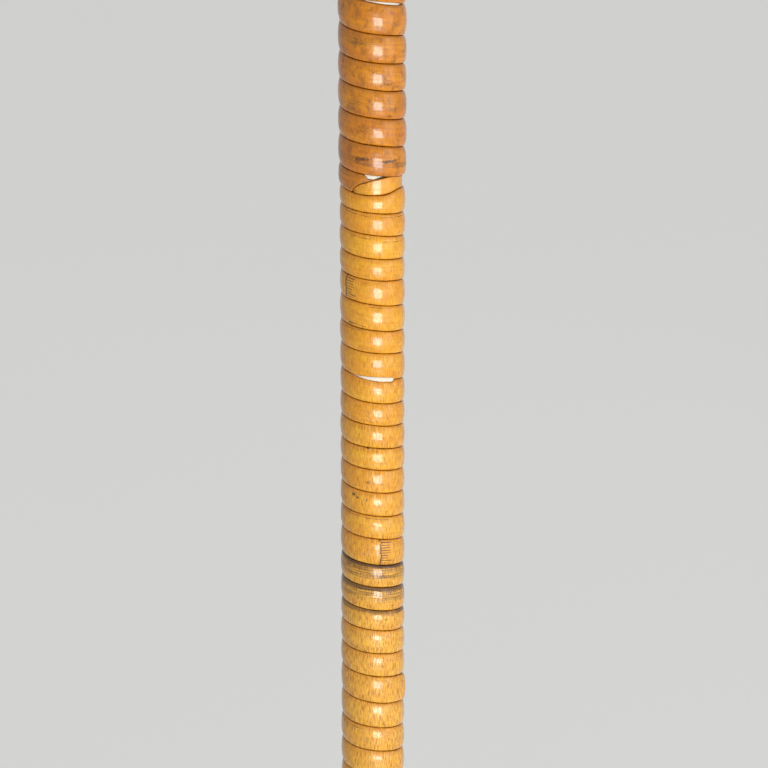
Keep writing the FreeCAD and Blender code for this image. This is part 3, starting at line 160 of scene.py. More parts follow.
def curve_through(knots, x):
    """A cubic through the (x, y) knots; each slope is the harmonic mean of its two chords'."""
    xs, ys = np.array(knots, float).T
    chords = np.diff(ys) / np.diff(xs)
    before, after = chords[:-1], chords[1:]
    agree = before * after > 0
    total = np.where(agree, before + after, 1)
    inner = np.where(agree, 2 * before * after / total, 0)
    slopes = np.concatenate([chords[:1], inner, chords[-1:]])
    x = np.clip(x, xs[0], xs[-1])
    i = np.clip(np.searchsorted(xs, x, side="right") - 1, 0, len(xs) - 2)
    width = xs[i + 1] - xs[i]
    s = (x - xs[i]) / width
    rise = s * s * (3 - 2 * s)
    return (
        ys[i] * (1 - rise) + ys[i + 1] * rise
        + width * (slopes[i] * s * (1 - s) ** 2 - slopes[i + 1] * s * s * (1 - s))
    )


def ripple(x, *waves):
    """A sum of sines, one for each (height, cycles per unit, phase)."""
    return sum(height * np.sin(FULL_TURN * (rate * x + phase)) for height, rate, phase in waves)


def grid_faces(rows, columns, wrap_rows=False, wrap_columns=False):
    """Quads between neighbouring points of a grid whose points are numbered row by row."""
    r = np.arange(rows if wrap_rows else rows - 1)
    c = np.arange(columns if wrap_columns else columns - 1)
    r, c = (part.ravel() for part in np.meshgrid(r, c, indexing="ij"))
    r2, c2 = (r + 1) % rows, (c + 1) % columns
    return np.stack([r * columns + c, r2 * columns + c, r2 * columns + c2, r * columns + c2], 1)


def new_piece(name, points, faces, material, uv=None, layers=None):
    """A smooth-shaded mesh object from points in mm and faces of point numbers."""
    mesh = bpy.data.meshes.new(name)
    mesh.from_pydata(np.asarray(points) * MM, [], [list(face) for face in faces])
    mesh.polygons.foreach_set("use_smooth", np.ones(len(mesh.polygons), bool))
    if uv is not None:
        corners = np.empty(len(mesh.loops), int)
        mesh.loops.foreach_get("vertex_index", corners)
        layer = mesh.uv_layers.new(name=uv[0])
        layer.data.foreach_set("uv", (uv[1][corners] * MM).astype(np.float32).ravel())
    for layer_name, values in (layers or {}).items():
        layer = mesh.attributes.new(layer_name, "FLOAT", "POINT")
        layer.data.foreach_set("value", np.asarray(values, np.float32).ravel())
    mesh.materials.append(material)
    mesh.update()
    made = bpy.data.objects.new(name, mesh)
    bpy.context.scene.collection.objects.link(made)
    return made


def round_points(radius, angle, height):
    """Points in mm at a radius and an angle about the lamp's axis, as a flat list."""
    parts = np.broadcast_arrays(radius * np.cos(angle), radius * np.sin(angle), height)
    return np.stack(parts, 2).reshape(-1, 3)


def from_front(turn):
    """Angle of a place on the winding, whose turns are counted from the front."""
    return turn[:, None] * FULL_TURN - math.pi / 2


def capped_faces(rows, columns, start=0):
    """Faces of a closed section carried along a path, with a cap at each end."""
    first = np.arange(columns) + start
    faces = [tuple(face) for face in grid_faces(rows, columns, wrap_columns=True) + start]
    return faces + [tuple(first), tuple(first[::-1] + (rows - 1) * columns)]


# Cane winding

def seam_height(turn):
    """Height of the seam in mm after so many turns: widths summed, shifts and a slow waver."""
    knots = [(WINDING_START, WINDING_TOP)]
    for count, width in TURN_WIDTHS:
        steps = max(1, round(count))
        for _ in range(steps):
            turn_now, height = knots[-1]
            knots.append((turn_now + count / steps, height - width * count / steps))
    waver = ripple(turn, (0.07, 0.37, 0.1), (0.05, 1.31, 0.6), (0.04, 2.77, 0.3))
    shift = curve_through(SEAM_SHIFTS, turn)
    return curve_through(knots, turn) + waver + shift


def seam_gap(turn):
    """How far the seam opens below and above its line, in mm: a hairline, or a gap."""
    hairline = 0.07 + ripple(turn, (0.02, 0.61, 0.2), (0.015, 3.3, 0.7), (0.015, 7.9, 0.4))
    below, above = hairline / 2, hairline / 2
    for opens, wide, closes, closed, width, share in OPEN_SEAMS:
        gape = width * eased(turn, opens, wide) * (1 - eased(turn, closes, closed))
        below, above = below + gape * share, above + gape * (1 - share)
    return below, above


def splice_height(turn):
    """Height in mm of the edge where the narrow strip lies against the wide one's tail."""
    share = curve_through(SPLICE_EDGE, turn)
    low, high = seam_height(turn), seam_height(turn - 1)
    return low + share * (high - low)


def strip_edges(turn, sizes, is_tail, is_head):
    """Lower and upper edge of the strip in mm: the seams below and above it, less their gaps.

    The tail of the wide strip stops at the splice's edge below, and the head of the narrow one at
    that edge above.
    """
    low = seam_height(turn) + seam_gap(turn)[1]
    high = seam_height(turn - 1) - seam_gap(turn - 1)[0]
    if is_tail:
        cut = splice_height(turn) + sizes.splice_gap / 2
        low = np.where(turn > SPLICE_EDGE[0][0], np.maximum(low, cut), low)
    if is_head:
        cut = splice_height(turn) - sizes.splice_gap / 2
        high = np.where(turn < SPLICE_EDGE[-1][0], np.minimum(high, cut), high)
    return low, np.maximum(high, low + sizes.least_width)


def knuckle_distance(turn):
    """Distance in mm along the strip to the nearest node, positive past it."""
    away = turn[:, None] - np.array(KNUCKLES)[None, :]
    nearest = np.abs(away).argmin(1)
    return away[np.arange(len(turn)), nearest] * FULL_TURN * FACE_RADIUS


def wind_strip(name, start, end, sizes, material, steps_per_turn, is_tail=False, is_head=False):
    """One length of split cane: a flat-backed, crowned profile carried along the helix.

    At turn t the profile spans the strip's two edges. Its outside is core radius + edge + crown *
    (1 - |2v - 1| ^ power), rounded off at both edges by a quarter circle; its back is the core
    radius. The point is turned by t full turns from the front and goes round anticlockwise.
    """
    count = int((end - start) * steps_per_turn) + 1
    turn = np.linspace(start, end, count)
    low, high = strip_edges(turn, sizes, is_tail, is_head)
    width = high - low
    across = (1 - np.cos(np.linspace(0, math.pi, sizes.points_across))) / 2
    across = across * 0.45 + np.linspace(0, 1, sizes.points_across) * 0.55

    fullness = np.clip(width / sizes.usual_width, 0.05, 1) ** 0.5
    thickness, full_crown = curve_through(THICKNESS, turn), curve_through(CROWN, turn)
    crown = full_crown * fullness * (1 + ripple(turn, (0.05, 0.23, 0.1), (0.04, 0.71, 0.5)))
    along = turn * FULL_TURN * FACE_RADIUS
    node_at = knuckle_distance(turn)
    before_node = np.exp(-((node_at + 1.0) / 2.2) ** 2) * (node_at < 0.0)
    past_node = np.exp(-((node_at - 0.0) / 3.0) ** 2) * (node_at >= 0.0)
    bulge = 1 + 1.3 * np.exp(-((turn - 29.235) / 0.5) ** 2)
    swelling = sizes.node_height * bulge * (before_node + 0.35 * past_node)
    thinner = np.zeros(count)
    if is_head:
        thinner = sizes.head_thinning * (1 - eased(turn, 7.24, 7.5))
    if is_tail:
        thinner = 0.35 * eased(turn, 6.8, 7.0)

    middle = 1 - np.abs(2 * across - 1) ** sizes.crown_power
    to_edge = np.minimum(across, 1 - across)[None, :] * width[:, None]
    rounding = sizes.edge_round
    inside = np.clip(rounding - to_edge, 0, rounding)
    rounded_off = rounding - np.sqrt(rounding ** 2 - inside ** 2)
    edge = (thickness - full_crown)[:, None]
    flats = ripple(along[:, None] * 0.012 + across[None, :], (0.012, 2.3, 0.2), (0.01, 3.9, 0.7))
    outer = (
        sizes.core_radius + edge + crown[:, None] * middle[None, :] - rounded_off
        + swelling[:, None] - thinner[:, None] * (0.4 + 0.6 * middle[None, :])
        + flats * np.minimum(1, to_edge / 0.8)
    )
    outer = np.maximum(outer, sizes.core_radius + 0.25)

    back = np.linspace(1, 0, 4)
    share = np.concatenate([across, back])
    radius = np.concatenate([outer, np.full((count, len(back)), sizes.core_radius)], 1)
    height = low[:, None] + share[None, :] * width[:, None]
    points = round_points(radius, from_front(turn), height)
    columns = len(share)
    faces = capped_faces(count, columns)
    uv = np.stack([
        np.broadcast_to(along[:, None], height.shape), share[None, :] * width[:, None],
    ], 2).reshape(-1, 2)
    rim = np.minimum(share, 1 - share)[None, :] * width[:, None]
    stain = np.zeros((count, columns))
    for first_turn, last_turn, centre, half, strength in STAINS:
        fade_in = eased(turn, first_turn, first_turn + 0.12)
        lengthwise = fade_in * (1 - eased(turn, last_turn - 0.12, last_turn))
        sideways = 1 - eased(np.abs(share - centre), half * 0.5, half)
        stain = np.maximum(stain, strength * lengthwise[:, None] * sideways[None, :])
    split = np.full(height.shape, 5.0)
    for first_turn, last_turn, from_share, to_share in SPLITS:
        at = from_share + (to_share - from_share) * (turn - first_turn) / (last_turn - first_turn)
        is_split = ((turn >= first_turn) & (turn <= last_turn))[:, None]
        split = np.where(is_split, (share[None, :] - at[:, None]) * width[:, None], split)
    layers = {
        RIM_LAYER: rim, STAIN_LAYER: stain, SPLIT_LAYER: split,
        TOP_LAYER: (1 - share[None, :]) * width[:, None],
        KNUCKLE_LAYER: np.clip(node_at, -12, 12)[:, None] + 0 * height,
        CRAZE_LAYER: curve_through(CRAZING, turn)[:, None] + 0 * height,
        PALE_LAYER: curve_through(PALENESS, turn)[:, None] + 0 * height,
    }
    return new_piece(name, points, faces, material, (STRIP_UV, uv), layers)


def gap_lining(material):
    """Pale paper lining that swells into the gaping seams.

    Each is a closed slab along the helix: its section is a rectangle from the core's radius to
    1.2 mm outside it, as tall as the gap, with a face that bows out by 0.12 mm.
    """
    points, faces = [], []
    for opens, _, _, closed, _, _ in OPEN_SEAMS:
        turn = np.linspace(opens + 0.004, closed - 0.004, 61)
        below, above = seam_gap(turn)
        middle = seam_height(turn)
        share = np.concatenate([np.linspace(0, 1, 7), [1.0, 0.0]])
        height = (middle - below)[:, None] + share[None, :] * (below + above)[:, None]
        bow = np.concatenate([1.2 + 0.12 * np.sin(math.pi * share[:7]), [0.02, 0.02]])
        grain = ripple(turn * 40, (0.03, 1, 0.2), (0.02, 2.3, 0.5))
        radius = CORE_RADIUS + bow[None, :] + grain[:, None] * (bow > 1)[None, :]
        start = sum(len(part) for part in points)
        points.append(round_points(radius, from_front(turn), height))
        faces += capped_faces(len(turn), len(share), start)
    return new_piece("core_lining", np.concatenate(points), faces, material)


def threaded_tube(name, bottom, top, outer, wall, deep_to, depth, steps, material):
    """A thin tube with a rolled thread: radius = outer - depth * (1 - cos(2 pi w)) / 2.

    w is height over pitch less the share of a turn. The depth fades at both ends and above
    deep_to, where the tube is nearly plain.
    """
    turns = np.arange(steps) / steps
    height = np.linspace(bottom, top, 121)
    wave = (1 - np.cos(FULL_TURN * (height[None, :] / THREAD_PITCH - turns[:, None]))) / 2
    fade = eased(height, bottom, bottom + 3) * (1 - 0.82 * eased(height, deep_to - 2, deep_to))
    outside = outer - depth * wave * fade[None, :]
    reach = np.concatenate([outside, outside[:, ::-1] - wall], 1)
    rise = np.concatenate([height, height[::-1]])
    points = round_points(reach, turns[:, None] * FULL_TURN, rise)
    faces = grid_faces(steps, len(rise), wrap_rows=True, wrap_columns=True)
    return new_piece(name, points, faces, material)


# Shade and foot

SHADE_BOTTOM, SHADE_TOP = 1194.85, 1452.85
SHADE_WIDE, SHADE_NARROW = 200.0, 120.0
RING_INSET = 1.0
RING_DROP = 2.0
RING_WIRE = 1.62
THREAD_PITCH = 3.63


def cone_radius(height):
    """Radius in mm of the shade's outside: a straight line from the bottom rim to the top one."""
    share = (height - SHADE_BOTTOM) / (SHADE_TOP - SHADE_BOTTOM)
    return SHADE_WIDE + (SHADE_NARROW - SHADE_WIDE) * share


def shade_cloth(sizes, material):
    """A lapped cone of stiffened cloth.

    Along: the angle runs once round from the back, and on by the lap. Across: up the outside and
    down the inside. The end lies over the start, so the wall steps out by its thickness there.
    """
    along = np.linspace(0, 1, 361)
    up = np.linspace(0, 1, 33)
    share = np.concatenate([up, up[::-1]])
    height = SHADE_BOTTOM + (SHADE_TOP - SHADE_BOTTOM) * share
    radius = cone_radius(height)
    lap = sizes.lap_width / radius
    angle = math.pi / 2 + along[:, None] * (FULL_TURN + lap[None, :])
    over = eased(along, 0.985, 0.997)[:, None] * sizes.cloth_thickness
    waves = ripple(along, (0.10, 5, 0.1), (0.07, 11, 0.4))[:, None]
    belly = np.sin(math.pi * share)[None, :]
    is_outside = np.concatenate([np.ones(len(up)), np.zeros(len(up))])
    offset = -0.98 + sizes.cloth_thickness * is_outside[None, :] + over + waves * belly * 0.8
    reach = radius[None, :] + offset
    points = round_points(reach, angle, height)
    faces = capped_faces(*reach.shape)
    uv = np.stack([angle * radius[None, :], np.broadcast_to(height, reach.shape)], 2).reshape(-1, 2)
    return new_piece("shade_cloth", points, faces, material, (CLOTH_UV, uv))


def folded_tape(name, edge, inwards, sizes, material):
    """Tape folded over a rim: down the outside, over the edge, and round the wire ring inside.

    edge is the rim's height and inwards is -1 at the top rim and 1 at the bottom one. The tape's
    underside follows the cone, then an arc about the wire; its face is one thickness further out.
    """
    slope = (SHADE_WIDE - SHADE_NARROW) / (SHADE_TOP - SHADE_BOTTOM)
    lean = math.hypot(1, slope)
    wire_height = edge + inwards * RING_DROP
    wire_radius = cone_radius(wire_height) - RING_INSET - RING_WIRE * lean
    leg = np.linspace(sizes.tape_width, 1.2, 9)
    leg_radius = cone_radius(edge + inwards * leg) + 0.12
    turn = np.radians(np.linspace(62, 282, 19))
    hug = 1.72 + 0.54 * (1 - eased(np.degrees(turn), 62, 100))
    arc_radius = wire_radius + hug * np.cos(turn)
    arc_height = RING_DROP - hug * np.sin(turn)
    radius = np.concatenate([leg_radius, arc_radius])
    depth = np.concatenate([leg, arc_height])
    tangent = np.stack([np.gradient(radius), np.gradient(depth)], 1)
    tangent /= np.linalg.norm(tangent, axis=1)[:, None]
    normal = np.stack([-tangent[:, 1], tangent[:, 0]], 1)
    face_radius = radius + normal[:, 0] * sizes.tape_thickness
    face_depth = depth + normal[:, 1] * sizes.tape_thickness
    loop_radius = np.concatenate([face_radius, radius[::-1]])
    loop_depth = np.concatenate([face_depth, depth[::-1]])
    if inwards > 0:
        loop_radius, loop_depth = loop_radius[::-1], loop_depth[::-1]
    steps = 540
    angle = np.arange(steps) * FULL_TURN / steps
    turns = angle / FULL_TURN
    pucker = ripple(turns, (0.05, 41, 0.1), (0.05, 67, 0.35), (0.04, 97, 0.8))
    outer_leg = eased(loop_depth, 1.5, 4.0)
    waver = ripple(turns, (0.12, 7, 0.3), (0.08, 23, 0.6))
    at_free_edge = eased(loop_depth, sizes.tape_width - 3, sizes.tape_width)
    reach = loop_radius[None, :] + np.abs(pucker)[:, None] * outer_leg[None, :]
    height = edge + inwards * (loop_depth[None, :] + waver[:, None] * at_free_edge[None, :])
    points = round_points(reach, angle[:, None], height)
    faces = grid_faces(steps, len(loop_radius), wrap_rows=True, wrap_columns=True)
    length = np.concatenate([[0], np.cumsum(np.hypot(np.diff(loop_radius), np.diff(loop_depth)))])
    uv = np.stack([
        angle[:, None] * reach, np.broadcast_to(length[None, :], reach.shape),
    ], 2).reshape(-1, 2)
    return new_piece(name, points, faces, material, (CLOTH_UV, uv))


def felt_pad(material):
    """A flat ring whose two edges are rounded and wander by a few tenths of a millimetre."""
    steps = 360
    turns = np.arange(steps) / steps
    rise = np.array([0.06, 0.4, 1.5, 2.6, 2.94])
    inset = np.array([0.5, 0.1, 0.0, 0.1, 0.5])
    outer_waver = ripple(turns, (0.12, 5, 0.2), (0.1, 17, 0.6), (0.06, 43, 0.1))
    inner_waver = ripple(turns, (0.1, 4, 0.5), (0.08, 19, 0.2))
    outer = 136.8 - inset[None, :] + outer_waver[:, None]
    inner = 50.2 + inset[None, :] + inner_waver[:, None]
    reach = np.concatenate([outer, inner], 1)
    points = round_points(
        reach, turns[:, None] * FULL_TURN, np.concatenate([rise, rise[::-1]]))
    faces = grid_faces(steps, reach.shape[1], wrap_rows=True, wrap_columns=True)
    return new_piece("felt_pad", points, faces, material)


# Material nodes

class Net:
    """A node tree with short calls: each adds a node, sets its inputs and gives an output."""

    def __init__(self, tree):
        self.tree = tree

    def add(self, kind, inputs=None, output=0, **settings):
        made = self.tree.nodes.new(kind)
        for key, setting in settings.items():
            setattr(made, key, setting)
        for name, given in (inputs or {}).items():
            self.feed(made.inputs[name], given)
        return made.outputs[output]

    def feed(self, socket, given):
        if isinstance(given, NodeSocket):
            self.tree.links.new(given, socket)
        else:
            socket.default_value = given

    def math(self, operation, first, second=0.0):
        return self.add("ShaderNodeMath", {0: first, 1: second}, operation=operation)

    def product(self, *factors):
        result = factors[0]
        for factor in factors[1:]:
            result = self.math("MULTIPLY", result, factor)
        return result

    def mix(self, share, first, second):
        inputs = {0: share, 6: first, 7: second}
        return self.add(
            "ShaderNodeMix", inputs, output=2, data_type="RGBA", clamp_factor=True)

    def step(self, value, start, end, low=0.0, high=1.0):
        """low where value is at start and high where it is at end, eased between."""
        inputs = {0: value, 1: start, 2: end, 3: low, 4: high}
        return self.add("ShaderNodeMapRange", inputs, interpolation_type="SMOOTHSTEP")

    def scaled(self, vector, scale, offset=(0, 0, 0)):
        return self.add("ShaderNodeMapping", {"Vector": vector, "Scale": scale, "Location": offset})

    def noise(self, vector, scale=1.0, detail=2.0, roughness=0.5, distortion=0.0):
        inputs = {
            "Vector": vector, "Scale": scale, "Detail": detail, "Roughness": roughness,
            "Distortion": distortion,
        }
        return self.add("ShaderNodeTexNoise", inputs)

    def object_place(self):
        return self.add("ShaderNodeTexCoord", output="Object")

    def layer(self, name):
        return self.add("ShaderNodeAttribute", output="Fac", attribute_name=name)

    def group(self, tree, inputs, output=0):
        return self.add("ShaderNodeGroup", inputs, output=output, node_tree=tree)

    def split(self, vector):
        made = self.tree.nodes.new("ShaderNodeSeparateXYZ")
        self.feed(made.inputs[0], vector)
        return made.outputs

    def bump(self, height, strength, distance):
        inputs = {"Strength": strength, "Distance": distance * MM, "Height": height}
        return self.add("ShaderNodeBump", inputs)


def new_material(name):
    """An empty node material: its net, and the Principled shader that is already linked out."""
    material = bpy.data.materials.new(name)
    material.use_nodes = True
    material.node_tree.nodes.clear()
    net = Net(material.node_tree)
    shader = material.node_tree.nodes.new("ShaderNodeBsdfPrincipled")
    leave = material.node_tree.nodes.new("ShaderNodeOutputMaterial")
    net.feed(leave.inputs["Surface"], shader.outputs[0])
    return material, net, shader


def set_shader(net, shader, **inputs):
    """Sets or links the shader's sockets, whose names are written with underscores."""
    for name, given in inputs.items():
        net.feed(shader.inputs[name.replace("_", " ")], given)


def new_group(name, inputs, outputs):
    """An empty node group: the tree, its net, its input sockets by name, and its output node."""
    tree = bpy.data.node_groups.new(name, "ShaderNodeTree")
    for label, kind, default in inputs:
        socket = tree.interface.new_socket(label, in_out="INPUT", socket_type=kind)
        if default is not None:
            socket.default_value = default
    for label, kind in outputs:
        tree.interface.new_socket(label, in_out="OUTPUT", socket_type=kind)
    entry = tree.nodes.new("NodeGroupInput")
    leave = tree.nodes.new("NodeGroupOutput")
    return tree, Net(tree), entry.outputs, leave.inputs


def mark_group():
    """A soft-edged, ragged ellipse at a place on the front of the stem.

    Place is (arc from the front centre line, height) in mm. The mask is 1 where the distance from
    the middle, measured in half-lengths and half-heights and stirred by noise, is under 1.
    """
    tree, net, given, out = new_group("Mark", [
        ("Place", "NodeSocketVector", None), ("Middle", "NodeSocketVector", None),
        ("Size", "NodeSocketVector", None), ("Ragged", "NodeSocketFloat", 0.5),
    ], [("Mask", "NodeSocketFloat")])
    away = net.add(
        "ShaderNodeVectorMath", {0: given["Place"], 1: given["Middle"]}, operation="SUBTRACT")
    reach = net.add("ShaderNodeVectorMath", {0: away, 1: given["Size"]}, operation="DIVIDE")
    distance = net.add("ShaderNodeVectorMath", {0: reach}, output="Value", operation="LENGTH")
    grain = net.noise(net.scaled(given["Place"], (2.6, 1.3, 1)), 1.0, 3.0, 0.7)
    stir = net.product(net.math("SUBTRACT", grain, 0.5), given["Ragged"], 4.5)
    out_value = net.step(net.math("ADD", distance, stir), 0.6, 1.15, 1.0, 0.0)
    net.feed(out["Mask"], out_value)
    return tree


def cane_figure_group():
    """Fibres, cross-cracks, painted glints beside them, blotches and pin-holes of split cane, from
    mm along and across it.
    """
    tree, net, given, out = new_group("Cane figure", [
        ("Strip", "NodeSocketVector", None),
    ], [
        ("Fibres", "NodeSocketFloat"), ("Cracks", "NodeSocketFloat"), ("Glints", "NodeSocketFloat"),
        ("Blotches", "NodeSocketFloat"), ("Specks", "NodeSocketFloat"),
    ])
    strip = given["Strip"]
    coarse = net.noise(net.scaled(strip, (0.05, 1.1, 1)), 1.0, 3.0, 0.6, 0.3)
    fine = net.noise(net.scaled(strip, (0.16, 4.5, 1), (7, 3, 0)), 1.0, 2.0, 0.6)
    net.feed(out["Fibres"], net.math("ADD", net.product(coarse, 0.65), net.product(fine, 0.35)))
    fine_strokes = net.noise(net.scaled(strip, (3.9, 0.40, 1), (31, 9, 0)), 1.0, 3.0, 0.66, 0.3)
    net.feed(out["Cracks"], net.step(fine_strokes, 0.50, 0.60))
    # Glints: painted highlights where the cross-strokes run light
    net.feed(out["Glints"], net.step(fine_strokes, 0.46, 0.36))
    blotch = net.noise(net.scaled(strip, (0.42, 0.30, 1), (3, 17, 0)), 1.0, 5.0, 0.68, 0.5)
    net.feed(out["Blotches"], net.step(blotch, 0.46, 0.68))
    holes = net.add("ShaderNodeTexVoronoi", {
        "Vector": net.scaled(strip, (0.55, 0.8, 1)), "Scale": 1.0, "Randomness": 1.0,
    }, output="Distance")
    net.feed(out["Specks"], net.step(holes, 0.05, 0.13, 1.0, 0.0))
    return tree


def lathe_group():
    """Fine rings left by turning: noise over the distance from the lamp's axis and the height."""
    tree, net, given, out = new_group("Lathe rings", [
        ("Place", "NodeSocketVector", None), ("Rings per mm", "NodeSocketFloat", 4.0),
    ], [("Height", "NodeSocketFloat")])
    flat = net.add("ShaderNodeVectorMath", {0: given["Place"], 1: (1, 1, 0)}, operation="MULTIPLY")
    radius = net.add("ShaderNodeVectorMath", {0: flat}, output="Value", operation="LENGTH")
    rings = net.add("ShaderNodeCombineXYZ", {0: radius, 1: net.split(given["Place"])[2], 2: 0.0})
    wide = net.add("ShaderNodeVectorMath", {0: rings, "Scale": 1000.0}, operation="SCALE")
    net.feed(out["Height"], net.noise(wide, given["Rings per mm"], 2.0, 0.6))
    return tree


def tarnish_group():
    """Cloudy tarnish with small darker spots in it, from Object coordinates in metres."""
    tree, net, given, out = new_group("Tarnish", [
        ("Place", "NodeSocketVector", None), ("Size mm", "NodeSocketFloat", 12.0),
        ("Amount", "NodeSocketFloat", 0.5),
    ], [("Mask", "NodeSocketFloat"), ("Spots", "NodeSocketFloat")])
    rate = net.math("DIVIDE", 1000.0, given["Size mm"])
    cloud = net.noise(given["Place"], rate, 5.0, 0.62, 0.8)
    edge = net.math("SUBTRACT", 0.78, net.product(given["Amount"], 0.4))
    mask = net.step(cloud, net.math("SUBTRACT", edge, 0.14), net.math("ADD", edge, 0.1))
    spots = net.noise(given["Place"], net.product(rate, 9.0), 2.0, 0.5)
    net.feed(out["Mask"], mask)
    net.feed(out["Spots"], net.product(net.step(spots, 0.62, 0.72), net.step(cloud, 0.4, 0.6)))
    return tree


def dust_group():
    """Dust on faces that look up, broken by noise."""
    tree, net, given, out = new_group("Dust", [
        ("Place", "NodeSocketVector", None), ("Amount", "NodeSocketFloat", 0.3),
    ], [("Mask", "NodeSocketFloat")])
    facing = net.split(net.add("ShaderNodeNewGeometry", output="Normal"))
    up = net.step(facing[2], 0.35, 1.0)
    grain = net.noise(given["Place"], 420.0, 4.0, 0.7)
    net.feed(out["Mask"], net.product(up, net.step(grain, 0.3, 0.75), given["Amount"]))
    return tree


def weave_group():
    """Plain weave: two sine waves across each other, one lifted where the other dips.

    Cloth is (along, across) in mm and Thread is the width of a thread. Slubs are threads that
    run thick for a stretch, from noise drawn out along each direction.
    """
    tree, net, given, out = new_group("Weave", [
        ("Cloth", "NodeSocketVector", None), ("Thread", "NodeSocketFloat", 0.5),
    ], [("Height", "NodeSocketFloat"), ("Slubs", "NodeSocketFloat")])
    along, across, _ = net.split(given["Cloth"])
    wobble = net.noise(net.scaled(given["Cloth"], (0.05, 0.05, 1)), 1.0, 2.0)
    rate = net.math("DIVIDE", math.pi, given["Thread"])
    x = net.math("SINE", net.product(net.math("ADD", along, wobble), rate))
    y = net.math("SINE", net.product(net.math("ADD", across, wobble), rate))
    over = net.product(x, y)
    height = net.math("ADD", net.product(net.math("ABSOLUTE", x), 0.5), net.product(over, 0.5))
    warp = net.noise(net.scaled(given["Cloth"], (1.1, 0.03, 1)), 1.0, 2.0, 0.6)
    weft = net.noise(net.scaled(given["Cloth"], (0.03, 1.1, 1), (5, 5, 0)), 1.0, 2.0, 0.6)
    net.feed(out["Height"], height)
    net.feed(out["Slubs"], net.step(net.math("MAXIMUM", warp, weft), 0.45, 0.75))
    return tree


def strip_mm(net):
    """The strip's own (along, across) in mm."""
    uv = net.add("ShaderNodeUVMap", uv_map=STRIP_UV)
    return net.scaled(uv, (1000, 1000, 1))


# Marks on the front of the stem: (arc from the front centre line, height, half-length,
# half-height, all in mm, raggedness, strength), as the photograph shows them
DARK_MARKS = (
    (-3.1, 744.2, 3.0, 0.55, 1.0, 0.8), (5.3, 743.2, 3.2, 0.42, 0.9, 0.9),
    (-4.6, 743.8, 0.6, 1.0, 1.2, 0.7), (4.6, 767.6, 2.0, 0.5, 1.2, 0.6),
    (5.6, 757.3, 0.9, 0.5, 1.0, 0.6), (-2.6, 753.5, 2.2, 1.2, 1.5, 0.35),
    (-4.2, 781.0, 2.6, 1.4, 1.5, 0.4), (-6.0, 760.5, 1.6, 1.6, 1.5, 0.35),
    (-1.5, 650.0, 0.55, 0.3, 1.0, 0.9), (-2.3, 643.3, 0.3, 0.3, 0.8, 0.7),
    (-1.5, 638.8, 0.6, 0.4, 1.0, 0.75), (-6.3, 634.3, 0.9, 0.5, 1.4, 0.85),
    (-5.0, 633.4, 0.6, 0.4, 1.4, 0.8), (-1.9, 632.8, 0.4, 0.4, 1.0, 0.8),
    (2.4, 606.6, 1.5, 0.35, 1.2, 0.5), (9.5, 571.6, 0.45, 0.55, 0.3, 1.0),
    (4.6, 592.0, 0.8, 0.3, 1.2, 0.5), (-7.6, 690.8, 1.4, 0.4, 1.0, 0.7),
)


